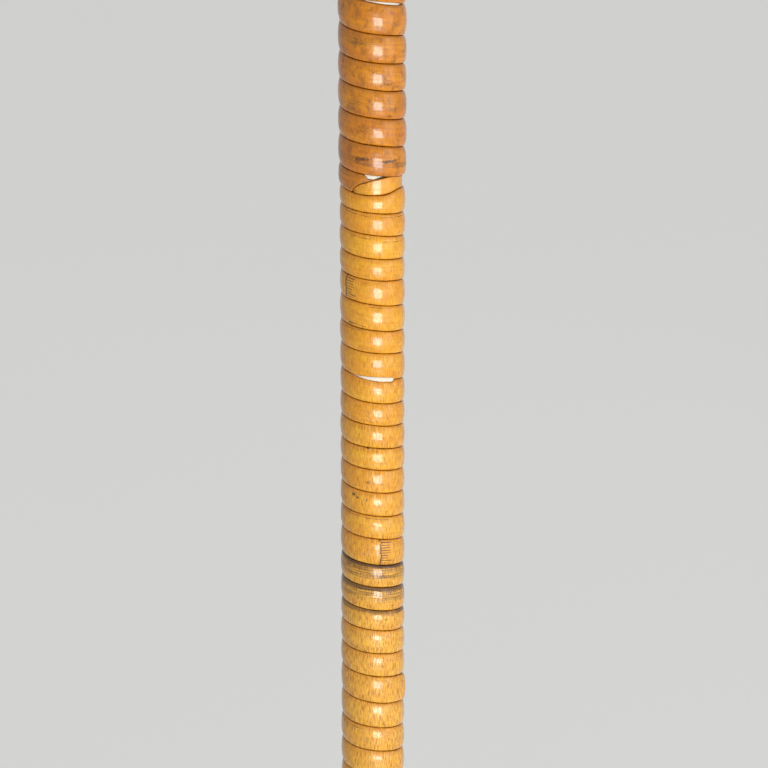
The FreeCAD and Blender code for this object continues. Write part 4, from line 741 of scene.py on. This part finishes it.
def cane_material(name, colours, groups, shade_and_dirt_under_seam, mottle):
    """Varnished split cane: fibres, cracks, painted glints and blotches under a gloss, brown
    towards the seams, with painted shade just below each seam.
    """
    material, net, shader = new_material(name)
    strip = strip_mm(net)
    figure = {
        label: net.group(groups["figure"], {"Strip": strip}, output=label)
        for label in ("Fibres", "Cracks", "Glints", "Blotches", "Specks")
    }
    place = net.object_place()
    wide = net.noise(net.scaled(strip, (0.02, 0.12, 1), (50, 0, 0)), 1.0, 2.0, 0.5)
    base = net.mix(net.step(wide, 0.35, 0.65), colours.light, colours.deep)
    base = net.mix(net.step(figure["Fibres"], 0.42, 0.62, 0.0, 0.55), base, colours.fibre)
    base = net.mix(net.product(figure["Blotches"], mottle), base, colours.blotch)
    base = net.mix(net.product(net.layer(PALE_LAYER), 0.6), base, colours.pale)
    # Darker band just below each seam: painted shade from the strip above, with some dirt in it
    top = net.layer(TOP_LAYER)
    base = net.mix(net.step(top, 0.2, 2.0, shade_and_dirt_under_seam, 0.0), base, colours.under)
    craze = net.layer(CRAZE_LAYER)
    crack_mask = net.product(figure["Cracks"], craze, 0.75)
    base = net.mix(crack_mask, base, colours.crack)
    # Painted highlights: light cross-strokes lifted toward the glint colour
    base = net.mix(net.product(figure["Glints"], craze, 0.6), base, colours.painted_glint)
    speck_patch = net.step(net.noise(net.scaled(strip, (0.06, 0.2, 1), (0, 40, 0)), 1.0), 0.5, 0.65)
    base = net.mix(net.product(figure["Specks"], speck_patch, 0.55), base, colours.dirt)

    stain = net.layer(STAIN_LAYER)
    streak = net.noise(net.scaled(strip, (0.10, 3.0, 1), (11, 2, 0)), 1.0, 3.0, 0.65)
    stain_mask = net.product(stain, net.step(streak, 0.62, 0.40))
    stain_core = net.step(stain, 0.72, 0.95, 0.0, 0.85)
    base = net.mix(net.math("MAXIMUM", stain_mask, stain_core), base, colours.stain)

    knuckle = net.layer(KNUCKLE_LAYER)
    across = net.split(strip)[1]
    wander = net.noise(net.scaled(strip, (0.0, 0.5, 1)), 1.0, 2.0)
    ledge_at = net.math("SUBTRACT", knuckle, net.product(net.math("SUBTRACT", wander, 0.5), 2.6))
    ledge = net.step(net.math("ABSOLUTE", ledge_at), 0.16, 0.34, 1.0, 0.0)
    comb_wobble = net.noise(net.scaled(strip, (0.3, 0.9, 1), (0, 23, 0)), 1.0, 2.0)
    comb_phase = net.product(across, FULL_TURN / 0.86)
    comb = net.math("SINE", net.math("ADD", comb_phase, net.product(comb_wobble, 2.5)))
    comb_length = net.noise(net.scaled(strip, (0.0, 1.3, 1), (0, 61, 0)), 1.0, 1.0)
    reach = net.math("SUBTRACT", net.step(comb_length, 0.35, 0.65, 2.6, 4.4), ledge_at)
    in_reach = net.product(net.step(ledge_at, 0.0, 0.2), net.step(reach, 0.0, 0.5))
    dashes = net.product(net.step(comb, 0.35, 0.75), in_reach)
    node_mask = net.math("MAXIMUM", net.product(ledge, 0.85), net.product(dashes, 0.85))
    base = net.mix(node_mask, base, colours.dirt)

    right, behind, up = net.split(place)
    angle = net.math("ARCTAN2", right, net.math("MULTIPLY", behind, -1.0))
    spot = net.add("ShaderNodeCombineXYZ", {
        0: net.product(angle, FACE_RADIUS), 1: net.product(up, 1000.0), 2: 0.0,
    })
    for arc, height, half_length, half_height, ragged, strength in DARK_MARKS:
        mask = net.group(groups["mark"], {
            "Place": spot, "Middle": (arc, height, 0), "Size": (half_length, half_height, 1),
            "Ragged": ragged,
        })
        base = net.mix(net.product(mask, strength), base, colours.dirt)

    rim = net.layer(RIM_LAYER)
    grime = net.noise(net.scaled(strip, (0.35, 0.0, 1), (0, 71, 0)), 1.0, 3.0, 0.6)
    grime_reach = net.step(grime, 0.3, 0.75, 0.12, 0.34)
    rim_mask = net.step(rim, 0.02, grime_reach, 1.0, 0.0)
    base = net.mix(net.product(rim_mask, net.step(grime, 0.3, 0.6, 0.35, 0.75)), base, colours.seam)
    split_wobble = net.noise(net.scaled(strip, (0.7, 0.0, 1), (0, 5, 0)), 1.0, 2.0)
    split_stray = net.product(net.math("SUBTRACT", split_wobble, 0.5), 0.7)
    split_at = net.math("ADD", net.layer(SPLIT_LAYER), split_stray)
    split_mask = net.step(net.math("ABSOLUTE", split_at), 0.05, 0.17, 1.0, 0.0)
    split_dirt = net.product(split_mask, net.step(grime, 0.35, 0.6, 0.2, 0.8))
    base = net.mix(split_dirt, base, colours.seam)

    relief = net.math("SUBTRACT", figure["Fibres"], net.product(crack_mask, 0.5))
    relief = net.math("SUBTRACT", relief, net.product(node_mask, 0.8))
    swell = net.noise(net.scaled(strip, (0.09, 0.55, 1), (0, 13, 0)), 1.0, 2.0)
    normal = net.bump(net.math("ADD", relief, net.product(swell, 2.0)), 0.6, 0.10)
    set_shader(
        net, shader, Base_Color=base, Normal=normal,
        Roughness=net.step(figure["Fibres"], 0.3, 0.7, 0.20, 0.30),
        Coat_Weight=0.4, Coat_Roughness=0.08, IOR=1.45,
    )
    return material


class CaneColours:
    """The colours of one kind of cane, as linear RGBA."""

    def __init__(self, tones):
        for label in ("light", "deep", "fibre", "blotch", "crack", "under", "pale", "painted_glint"):
            setattr(self, label, (*getattr(tones, label), 1.0))
        self.stain, self.dirt, self.seam = paint(48, 30, 26), paint(66, 36, 12), paint(84, 42, 10)


# Finishes

def finish(material, *nodes):
    """Gives CAD nodes the material through their objects' material slots."""
    for node in nodes:
        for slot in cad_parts[node].material_slots:
            slot.material = material


def metal(name, groups, bright, dull, spots, rough, cloud_mm, amount, rings=4.0, ring_bump=0.25):
    """Bare or lacquered metal: cloudy tarnish with spots, turning rings and a little dust."""
    material, net, shader = new_material(name)
    place = net.object_place()
    tarnish = {"Place": place, "Size mm": cloud_mm, "Amount": amount}
    mask = net.group(groups["tarnish"], tarnish, output="Mask")
    spot = net.group(groups["tarnish"], tarnish, output="Spots")
    dust = net.group(groups["dust"], {"Place": place, "Amount": 0.22})
    ring = net.group(groups["lathe"], {"Place": place, "Rings per mm": rings})
    base = net.mix(net.product(mask, 0.75), paint(*bright), paint(*dull))
    base = net.mix(net.product(spot, 0.6), base, paint(*spots))
    base = net.mix(dust, base, paint(176, 166, 150))
    uneven = net.math("ADD", net.product(mask, 0.16), net.product(ring, 0.10))
    roughness = net.math("ADD", net.math("ADD", uneven, rough), net.product(dust, 0.4))
    pits = net.noise(place, 900.0, 2.0)
    relief = net.math("ADD", net.product(ring, ring_bump), net.product(pits, 0.15))
    set_shader(
        net, shader, Base_Color=base, Roughness=roughness, Metallic=1.0,
        Normal=net.bump(relief, 0.5, 0.05))
    return material


def moulded(name, groups, light, dark, rough, grain, depth, dust, coat=0.0):
    """Moulded, pressed, glazed or painted stuff: two tones in clouds, a fine grain and dust."""
    material, net, shader = new_material(name)
    place = net.object_place()
    cloud = net.noise(place, grain * 0.12, 4.0, 0.6, 0.4)
    fine = net.noise(place, grain, 4.0, 0.65)
    base = net.mix(net.step(cloud, 0.35, 0.65), paint(*light), paint(*dark))
    base = net.mix(net.step(fine, 0.55, 0.8, 0.0, 0.35), base, paint(*dark))
    film = net.group(groups["dust"], {"Place": place, "Amount": dust})
    base = net.mix(film, base, paint(168, 160, 148))
    grain_rough = net.step(fine, 0.3, 0.7, rough - 0.05, rough + 0.07)
    roughness = net.math("ADD", grain_rough, net.product(film, 0.2))
    set_shader(
        net, shader, Base_Color=base, Roughness=roughness, Coat_Weight=coat, Coat_Roughness=0.08,
        Normal=net.bump(fine, 0.5, depth))
    return material


def zinc_plate(groups):
    """Zinc plating: grains of slightly different greys under a cloudy bloom."""
    material, net, shader = new_material("zinc_plate")
    place = net.object_place()
    grains = net.add("ShaderNodeTexVoronoi", {"Vector": place, "Scale": 700.0}, output="Color")
    tone = net.add("ShaderNodeSeparateColor", {0: grains})
    bloom = net.group(groups["tarnish"], {"Place": place, "Size mm": 9.0, "Amount": 0.5})
    base = net.mix(tone, paint(190, 191, 190), paint(214, 215, 212))
    base = net.mix(net.product(bloom, 0.5), base, paint(150, 150, 146))
    set_shader(
        net, shader, Base_Color=base, Metallic=1.0,
        Roughness=net.math("ADD", net.product(tone, 0.12), 0.32),
        Normal=net.bump(net.noise(place, 500.0, 3.0), 0.4, 0.03))
    return material


def bulb_frost():
    """Frosted glass: a white bloom of uneven depth, letting light through softly."""
    material, net, shader = new_material("bulb_frost")
    place = net.object_place()
    frost = net.noise(place, 60.0, 4.0, 0.6)
    grain = net.noise(place, 1500.0, 2.0)
    base = net.mix(net.step(frost, 0.3, 0.7), paint(247, 245, 240), paint(252, 251, 248))
    set_shader(
        net, shader, Base_Color=base,
        Roughness=net.step(frost, 0.3, 0.7, 0.38, 0.5), Transmission_Weight=0.12, IOR=1.45,
        Normal=net.bump(grain, 0.3, 0.02))
    return material


def mount_glass():
    """Clear pressed glass with faint drawn streaks."""
    material, net, shader = new_material("mount_glass")
    streak = net.noise(net.scaled(net.object_place(), (500, 500, 40)), 1.0, 2.0)
    set_shader(
        net, shader, Base_Color=net.mix(streak, paint(248, 251, 250), paint(240, 247, 246)),
        Roughness=net.step(streak, 0.3, 0.7, 0.03, 0.08), Transmission_Weight=1.0, IOR=1.5,
        Normal=net.bump(streak, 0.3, 0.03))
    return material


def woven(name, groups, light, dark, thread, slub_strength, fold_grain):
    """Plain-woven cloth: threads lit on their crowns, slubs, and a faint uneven fading."""
    material, net, shader = new_material(name)
    cloth = net.scaled(net.add("ShaderNodeUVMap", uv_map=CLOTH_UV), (1000, 1000, 1))
    height = net.group(groups["weave"], {"Cloth": cloth, "Thread": thread}, output="Height")
    slubs = net.group(groups["weave"], {"Cloth": cloth, "Thread": thread}, output="Slubs")
    fade = net.noise(net.scaled(cloth, (0.012, 0.02, 1)), 1.0, 3.0)
    # Painted highlight: thread crowns coloured lighter and hollows darker, as if lit
    base = net.mix(net.step(height, -0.2, 0.8), paint(*dark), paint(*light))
    base = net.mix(net.product(slubs, slub_strength), base, paint(*dark))
    base = net.mix(net.step(fade, 0.35, 0.7, 0.0, 0.25), base, paint(222, 204, 170))
    fuzz = net.noise(net.scaled(cloth, (fold_grain, fold_grain, 1)), 1.0, 3.0, 0.7)
    rough_spots = net.math("ADD", net.product(slubs, 0.8), net.product(fuzz, 0.4))
    relief = net.math("ADD", height, rough_spots)
    set_shader(
        net, shader, Base_Color=base, Roughness=net.step(height, -0.2, 0.8, 0.92, 0.8),
        Sheen_Weight=0.15, Sheen_Roughness=0.5, Normal=net.bump(relief, 0.7, 0.12))
    return material


def pressed_felt():
    """Green felt: matted fibres in two directions, flecked lighter."""
    material, net, shader = new_material("pressed_felt")
    place = net.object_place()
    mat = net.noise(place, 260.0, 5.0, 0.7, 1.5)
    fleck = net.noise(place, 1400.0, 3.0, 0.7, 2.0)
    base = net.mix(net.step(mat, 0.3, 0.7), paint(52, 76, 54), paint(74, 100, 72))
    base = net.mix(net.step(fleck, 0.58, 0.75, 0.0, 0.5), base, paint(112, 134, 104))
    set_shader(
        net, shader, Base_Color=base, Roughness=net.step(mat, 0.3, 0.7, 0.88, 0.98),
        Sheen_Weight=0.3, Sheen_Roughness=0.5,
        Normal=net.bump(net.math("ADD", mat, fleck), 0.8, 0.3))
    return material


# Sizes and colours that a user would change

def tone_of(label, what, red, green, blue):
    """A colour property whose default is given in 0-255 screen values."""
    return FloatVectorProperty(
        name=label, description=what, size=3, default=paint(red, green, blue)[:3], subtype="COLOR")


class WideCane(PropertyGroup):
    """Colours of the wide, orange cane of the upper stem."""
    light: tone_of("Light", "Paler stretches", 232, 149, 4)
    deep: tone_of("Deep", "Deeper stretches", 214, 128, 3)
    fibre: tone_of("Fibre", "Lines along the strip", 192, 106, 10)
    blotch: tone_of("Blotch", "Brown mottling", 146, 82, 8)
    crack: tone_of("Crack", "Strokes across the strip", 146, 80, 10)
    # Under the seam: colour of the painted shade below each seam, with some dirt and pooled varnish
    under: tone_of("Under the seam", "Varnish pooled under each seam", 190, 116, 8)
    pale: tone_of("Faded", "Where it has paled", 242, 184, 72)
    # Glint: colour of the painted highlights on the light cross-strokes
    painted_glint: tone_of("Glint", "Light strokes across the strip", 238, 158, 18)


class NarrowCane(PropertyGroup):
    """Colours of the narrow, amber cane of the rest."""
    light: tone_of("Light", "Paler stretches", 251, 183, 30)
    deep: tone_of("Deep", "Deeper stretches", 243, 165, 16)
    fibre: tone_of("Fibre", "Lines along the strip", 226, 146, 24)
    blotch: tone_of("Blotch", "Brown mottling", 200, 114, 24)
    crack: tone_of("Crack", "Strokes across the strip", 158, 86, 18)
    # Under the seam: colour of the painted shade below each seam, with some dirt and pooled varnish
    under: tone_of("Under the seam", "Varnish pooled under each seam", 222, 138, 30)
    pale: tone_of("Faded", "Where it has paled", 242, 184, 72)
    # Glint: colour of the painted highlights on the light cross-strokes
    painted_glint: tone_of("Glint", "Light strokes across the strip", 255, 212, 108)


class StageSizes(PropertyGroup):
    """Camera, floor and light."""
    aim_height: FloatProperty(
        name="Aim height", description="Height that the camera looks at", default=0.6684,
        unit="LENGTH", subtype="DISTANCE")
    aim_side: FloatProperty(
        name="Aim side", description="How far right of the stem the camera looks", default=0.00366,
        unit="LENGTH", subtype="DISTANCE")
    distance: FloatProperty(
        name="Distance", description="From the camera to the point it looks at", default=1.161,
        unit="LENGTH", subtype="DISTANCE")
    tilt: FloatProperty(
        name="Tilt", description="How far the camera looks down", default=math.radians(17),
        unit="ROTATION", subtype="ANGLE")
    view_angle: FloatProperty(
        name="View angle", description="Angle across the picture", default=math.radians(12),
        unit="ROTATION", subtype="ANGLE")
    backdrop: FloatVectorProperty(
        name="Backdrop", description="Pale grey that floor and sky show", size=3,
        default=paint(212, 212, 210)[:3], subtype="COLOR")
    sky_light: FloatProperty(
        name="Sky light", description="Level of the light from all round", default=0.33)
    floor_radius: FloatProperty(
        name="Floor radius", description="Radius of the floor", default=40.0,
        unit="LENGTH", subtype="DISTANCE")


class CaneSizes(PropertyGroup):
    """Section of the split cane, in mm."""
    core_radius: FloatProperty(
        name="Core radius", description="Radius of the cane's back, in mm", default=CORE_RADIUS)
    crown_power: FloatProperty(
        name="Crown power", description="2 is a plain arch, more is flatter with tighter shoulders",
        default=2.6)
    edge_round: FloatProperty(
        name="Edge round", description="Radius of the rounded edges, in mm", default=0.32)
    usual_width: FloatProperty(
        name="Usual width", description="Width of a strip with its full crown, in mm", default=7.4)
    least_width: FloatProperty(
        name="Least width", description="Width at a cut tip, in mm", default=0.06)
    splice_gap: FloatProperty(
        name="Splice gap", description="Gap along the cut at the splice, in mm", default=0.1)
    head_thinning: FloatProperty(
        name="Head thinning", description="How much thinner the pared head is, in mm", default=0.85)
    node_height: FloatProperty(
        name="Node height", description="Swelling at a node, in mm", default=0.22)
    points_across: IntProperty(
        name="Points across", description="Mesh points across the strip", default=17)
    steps_fine: IntProperty(
        name="Steps, near", description="Steps per turn in the stretch shown", default=144)
    steps_plain: IntProperty(
        name="Steps, far", description="Steps per turn elsewhere", default=96)


class ShadeSizes(PropertyGroup):
    """Cloth and tapes of the shade, in mm."""
    cloth_thickness: FloatProperty(
        name="Cloth thickness", description="Cloth and its backing, in mm", default=0.5)
    lap_width: FloatProperty(
        name="Lap width", description="Overlap of the seam at the back, in mm", default=11.0)
    tape_width: FloatProperty(
        name="Tape width", description="How far the tape comes down outside, in mm", default=11.0)
    tape_thickness: FloatProperty(
        name="Tape thickness", description="Thickness of the folded tape, in mm", default=0.45)


# Operators

class LAMP_OT_stage(Operator):
    """Lays the floor, hangs the lights and sets the camera where the photograph was taken"""
    bl_idname = "lamp.stage"
    bl_label = "Stage"

    def execute(self, context):
        sizes = context.scene.lamp_stage
        self.set_camera(context, sizes)
        self.set_sky(context, sizes)
        self.lay_floor(sizes)
        stem = Vector((0, 0, sizes.aim_height))
        hang_light("key_light", stem, 19, -13, 1.6, (0.84, 0.42), 14.0)
        hang_light("side_light", stem, 62, 4, 2.4, (1.7, 1.9), 1.45)
        hang_light("top_light", stem, 8, 48, 2.8, (1.6, 1.6), 0.9)
        return {"FINISHED"}

    def set_camera(self, context, sizes):
        lens = bpy.data.cameras.new("photo_camera")
        lens.sensor_width = 36
        lens.lens = lens.sensor_width / 2 / math.tan(sizes.view_angle / 2)
        lens.clip_start, lens.clip_end = 0.05, 200
        camera = bpy.data.objects.new("photo_camera", lens)
        back, up = math.cos(sizes.tilt), math.sin(sizes.tilt)
        camera.location = (
            sizes.aim_side, -sizes.distance * back, sizes.aim_height + sizes.distance * up,
        )
        camera.rotation_euler = (math.pi / 2 - sizes.tilt, 0, 0)
        context.scene.collection.objects.link(camera)
        context.scene.camera = camera
        context.scene.view_settings.view_transform = "Standard"

    def set_sky(self, context, sizes):
        sky = bpy.data.worlds.new("studio")
        sky.use_nodes = True
        sky.node_tree.nodes.clear()
        net = Net(sky.node_tree)
        colour = net.mix(seen_directly(net), (sizes.sky_light,) * 3 + (1,), (*sizes.backdrop, 1))
        light = net.add("ShaderNodeBackground", {"Color": colour})
        net.feed(net.tree.nodes.new("ShaderNodeOutputWorld").inputs[0], light)
        context.scene.world = sky

    def lay_floor(self, sizes):
        material, net, shader = new_material("pale_floor")
        tone = net.noise(net.object_place(), 0.8, 2.0)
        grey = net.mix(tone, (0.70, 0.70, 0.69, 1), (0.76, 0.76, 0.755, 1))
        set_shader(
            net, shader, Base_Color=grey, Roughness=0.9, Emission_Color=(*sizes.backdrop, 1),
        )
        shader.inputs["Specular IOR Level"].default_value = 0.1
        net.feed(shader.inputs["Emission Strength"], net.product(seen_directly(net), 0.56))
        angle = np.arange(192) * FULL_TURN / 192
        radii = np.array([0.0001, 0.5, 2, 8, 20, sizes.floor_radius]) / MM
        points = np.stack([
            np.outer(radii, np.cos(angle)), np.outer(radii, np.sin(angle)),
            np.zeros((len(radii), len(angle))),
        ], 2).reshape(-1, 3)
        faces = grid_faces(len(radii), len(angle), wrap_columns=True)
        floor = new_piece("floor", points, faces, material)


def seen_directly(net):
    """1 for rays that come from the camera, a reflection or through glass, else 0."""
    rays = net.tree.nodes.new("ShaderNodeLightPath").outputs
    seen = net.math("MAXIMUM", rays["Is Camera Ray"], rays["Is Glossy Ray"])
    return net.math("MAXIMUM", seen, rays["Is Transmission Ray"])


def hang_light(name, aim, side, height, distance, size, level):
    """A soft box that faces aim from side degrees right of the front and height degrees up.

    level is the brightness of its face, so its power is level * pi * width * height.
    """
    lamp = bpy.data.lights.new(name, "AREA")
    lamp.shape = "RECTANGLE"
    lamp.size, lamp.size_y = size
    lamp.energy = level * math.pi * size[0] * size[1]
    light = bpy.data.objects.new(name, lamp)
    side, height = math.radians(side), math.radians(height)
    towards = Vector((
        math.sin(side) * math.cos(height), -math.cos(side) * math.cos(height), math.sin(height),
    ))
    light.location = aim + distance * towards
    light.rotation_euler = towards.to_track_quat("Z", "Y").to_euler()
    light.visible_camera = False
    bpy.context.scene.collection.objects.link(light)


class LAMP_OT_cane(Operator):
    """Winds the six lengths of split cane round the stem"""
    bl_idname = "lamp.cane"
    bl_label = "Wound cane"

    def execute(self, context):
        sizes = context.scene.lamp_cane
        groups = {"figure": cane_figure_group(), "mark": mark_group()}
        orange = CaneColours(context.scene.lamp_wide_cane)
        amber = CaneColours(context.scene.lamp_narrow_cane)
        dark_cane = cane_material("cane_orange", orange, groups, 0.75, 0.75)
        pale_cane = cane_material("cane_amber", amber, groups, 0.45, 0.35)
        pieces = (
            ("cane_1", -40.66, -16.66, dark_cane, sizes.steps_plain),
            ("cane_2", -16.66, TAIL_END, dark_cane, sizes.steps_fine),
            ("cane_3", SPLICE_EDGE[0][0] + 0.004, 30.54, pale_cane, sizes.steps_fine),
            ("cane_4", 30.541, 54.54, pale_cane, sizes.steps_plain),
            ("cane_5", 54.541, 78.34, pale_cane, sizes.steps_plain),
            ("cane_6", 78.341, 88.28, pale_cane, sizes.steps_plain),
        )
        for node, start, end, material, steps in pieces:
            strip = wind_strip(
                f"{node}_strip", start, end, sizes, material, steps,
                is_tail=node == "cane_2", is_head=node == "cane_3",
            )
            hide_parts(node)
            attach(strip, "stand")
        return {"FINISHED"}


def shared_groups():
    """The node groups that several materials use, built once."""
    makers = {
        "Tarnish": tarnish_group, "Dust": dust_group, "Lathe rings": lathe_group,
        "Weave": weave_group,
    }
    built = bpy.data.node_groups
    return {name.split()[0].lower(): built.get(name) or make() for name, make in makers.items()}


def aged_brass(groups):
    """The lacquered, slightly aged brass of foot and fittings, built once."""
    return bpy.data.materials.get("aged_brass_finish") or metal(
        "aged_brass_finish", groups, (206, 170, 104), (172, 134, 78), (96, 70, 42), 0.24, 9.0, 0.32)


def plain_brass(groups):
    """Unlacquered brass of the inside pieces, built once."""
    return bpy.data.materials.get("plain_brass_finish") or metal(
        "plain_brass_finish", groups, (226, 190, 120), (176, 140, 84), (96, 70, 44), 0.3, 6.0, 0.4)


class LAMP_OT_stem(Operator):
    """Finishes the tube, its plugs, nipples and leads, and lays the lining seen in the gaps"""
    bl_idname = "lamp.stem"
    bl_label = "Stem"

    def execute(self, context):
        groups = shared_groups()
        finish(moulded(
            "tube_paint", groups, (238, 234, 222), (222, 214, 196), 0.42, 300.0, 0.05, 0.1,
        ), "stem_tube")
        lining = gap_lining(moulded(
            "lining_paper", groups, (244, 238, 224), (228, 218, 198), 0.7, 700.0, 0.06, 0.05))
        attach(lining, "stand")
        finish(plain_brass(groups), "lower_plug", "upper_plug")
        finish(zinc_plate(groups), "upper_nipple", "lower_nipple", "base_nut", "base_washer",
               "well_cover", "well_cover_screws")
        finish(moulded(
            "brown_sleeve", groups, (132, 94, 66), (110, 76, 52), 0.42, 400.0, 0.02, 0.15,
        ), "live_lead")
        finish(moulded(
            "blue_sleeve", groups, (84, 118, 172), (66, 98, 150), 0.42, 400.0, 0.02, 0.15,
        ), "neutral_lead")
        return {"FINISHED"}


class LAMP_OT_foot(Operator):
    """Finishes the foot and lays the felt ring under it"""
    bl_idname = "lamp.foot"
    bl_label = "Foot"

    def execute(self, context):
        groups = shared_groups()
        finish(aged_brass(groups), "base_cover")
        finish(moulded("iron_paint", groups, (74, 74, 74), (52, 51, 50), 0.6, 500.0, 0.25, 0.3),
               "base_weight")
        finish(moulded(
            "moulded_rubber", groups, (58, 57, 56), (40, 39, 38), 0.7, 600.0, 0.05, 0.35,
        ), "cord_grommet")
        finish(moulded(
            "block_glaze", groups, (240, 237, 230), (226, 221, 210), 0.2, 200.0, 0.04, 0.1, 0.6,
        ), "terminal_block")
        finish(plain_brass(groups), "terminal_block_screws")
        pad = felt_pad(pressed_felt())
        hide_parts("felt_ring")
        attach(pad, "stand")
        return {"FINISHED"}


class LAMP_OT_brasswork(Operator):
    """Finishes the turned and spun brass fittings, the saddle and the harp"""
    bl_idname = "lamp.brasswork"
    bl_label = "Brass fittings and harp"

    def execute(self, context):
        groups = shared_groups()
        finish(aged_brass(groups), "stem_collar", "lower_ferrule", "upper_ferrule", "upper_collar",
               "drip_dish", "candle_cup", "finial", "harp_sleeve_left", "harp_sleeve_right")
        wire = metal("brass_wire_finish", groups, (214, 184, 128), (160, 128, 78), (92, 68, 42),
                     0.26, 8.0, 0.45, 2.0, 0.1)
        finish(wire, "harp_saddle", "harp_wire", "shade_top_ring", "shade_bottom_ring",
               "shade_spider")
        return {"FINISHED"}


class LAMP_OT_holder(Operator):
    """Finishes the lamp holder and rolls the thread of its shell"""
    bl_idname = "lamp.holder"
    bl_label = "Lamp holder"

    def execute(self, context):
        groups = shared_groups()
        finish(metal("socket_brass_finish", groups, (220, 196, 146), (178, 148, 98), (104, 80, 52),
                     0.22, 10.0, 0.42), "socket_cap", "socket_shell")
        finish(metal("key_brass_finish", groups, (216, 188, 140), (170, 140, 92), (100, 76, 48),
                     0.28, 5.0, 0.45, 1.0, 0.1), "switch_key")
        finish(moulded(
            "pressed_fibre", groups, (150, 124, 102), (122, 98, 78), 0.8, 500.0, 0.08, 0.1,
        ), "socket_liner")
        finish(moulded(
            "dark_moulding", groups, (52, 48, 44), (36, 32, 30), 0.34, 250.0, 0.03, 0.25,
        ), "socket_insulator", "switch_shaft")
        brass = plain_brass(groups)
        finish(brass, "centre_contact", "socket_terminals", "terminal_screws")
        shell = threaded_tube(
            "screw_shell_thread", 1238.0, 1271.0, 13.9, 0.45, 1254.5, 0.85, 144, brass)
        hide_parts("screw_shell")
        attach(shell, "stand")
        return {"FINISHED"}


class LAMP_OT_bulb(Operator):
    """Finishes the bulb's cap, glass, mount and filament"""
    bl_idname = "lamp.bulb"
    bl_label = "Bulb"

    def execute(self, context):
        groups = shared_groups()
        finish(metal("cap_metal_finish", groups, (226, 226, 224), (178, 176, 170), (120, 116, 108),
                     0.3, 5.0, 0.4), "bulb_cap")
        finish(bulb_frost(), "bulb_glass")
        finish(mount_glass(), "bulb_mount")
        finish(metal("filament_finish", groups, (176, 174, 170), (128, 124, 118), (80, 76, 70),
                     0.4, 3.0, 0.4, 1.0, 0.05), "bulb_filament")
        return {"FINISHED"}


class LAMP_OT_shade(Operator):
    """Lays the linen cone and its two tapes on the shade's rings"""
    bl_idname = "lamp.shade"
    bl_label = "Linen shade"

    def execute(self, context):
        sizes = context.scene.lamp_shade
        groups = shared_groups()
        cloth = shade_cloth(sizes, woven(
            "shade_linen", groups, (238, 228, 206), (206, 192, 162), 0.55, 0.35, 2.5))
        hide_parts("shade_cover")
        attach(cloth, "shade")
        tape_stuff = woven("shade_tape", groups, (230, 218, 194), (196, 180, 148), 0.38, 0.15, 4.0)
        for node, edge, inwards in (
                ("shade_top_trim", SHADE_TOP, -1), ("shade_bottom_trim", SHADE_BOTTOM, 1)):
            tape = folded_tape(node + "_tape", edge, inwards, sizes, tape_stuff)
            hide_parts(node)
            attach(tape, "shade")
        return {"FINISHED"}


GROUPS = (StageSizes, CaneSizes, WideCane, NarrowCane, ShadeSizes)
STEPS = (
    LAMP_OT_stage, LAMP_OT_stem, LAMP_OT_cane, LAMP_OT_foot, LAMP_OT_brasswork, LAMP_OT_holder,
    LAMP_OT_bulb, LAMP_OT_shade,
)


class LAMP_PT_parts(Panel):
    """Lists the parts of the lamp"""
    bl_label = "Floor Lamp"
    bl_idname = "LAMP_PT_parts"
    bl_space_type = "VIEW_3D"
    bl_region_type = "UI"
    bl_category = "Floor Lamp"

    def draw(self, context):
        for step in STEPS:
            self.layout.operator(step.bl_idname)


def register():
    for part in (*GROUPS, *STEPS, LAMP_PT_parts):
        bpy.utils.register_class(part)
    bpy.types.Scene.lamp_stage = PointerProperty(type=StageSizes)
    bpy.types.Scene.lamp_cane = PointerProperty(type=CaneSizes)
    bpy.types.Scene.lamp_wide_cane = PointerProperty(type=WideCane)
    bpy.types.Scene.lamp_narrow_cane = PointerProperty(type=NarrowCane)
    bpy.types.Scene.lamp_shade = PointerProperty(type=ShadeSizes)


def unregister():
    del bpy.types.Scene.lamp_shade
    del bpy.types.Scene.lamp_narrow_cane
    del bpy.types.Scene.lamp_wide_cane
    del bpy.types.Scene.lamp_cane
    del bpy.types.Scene.lamp_stage
    for part in reversed((*GROUPS, *STEPS, LAMP_PT_parts)):
        bpy.utils.unregister_class(part)


def main():
    register()
    bpy.ops.lamp.stage()
    bpy.ops.lamp.stem()
    bpy.ops.lamp.cane()
    bpy.ops.lamp.foot()
    bpy.ops.lamp.brasswork()
    bpy.ops.lamp.holder()
    bpy.ops.lamp.bulb()
    bpy.ops.lamp.shade()


if __name__ == "__main__":
    main()
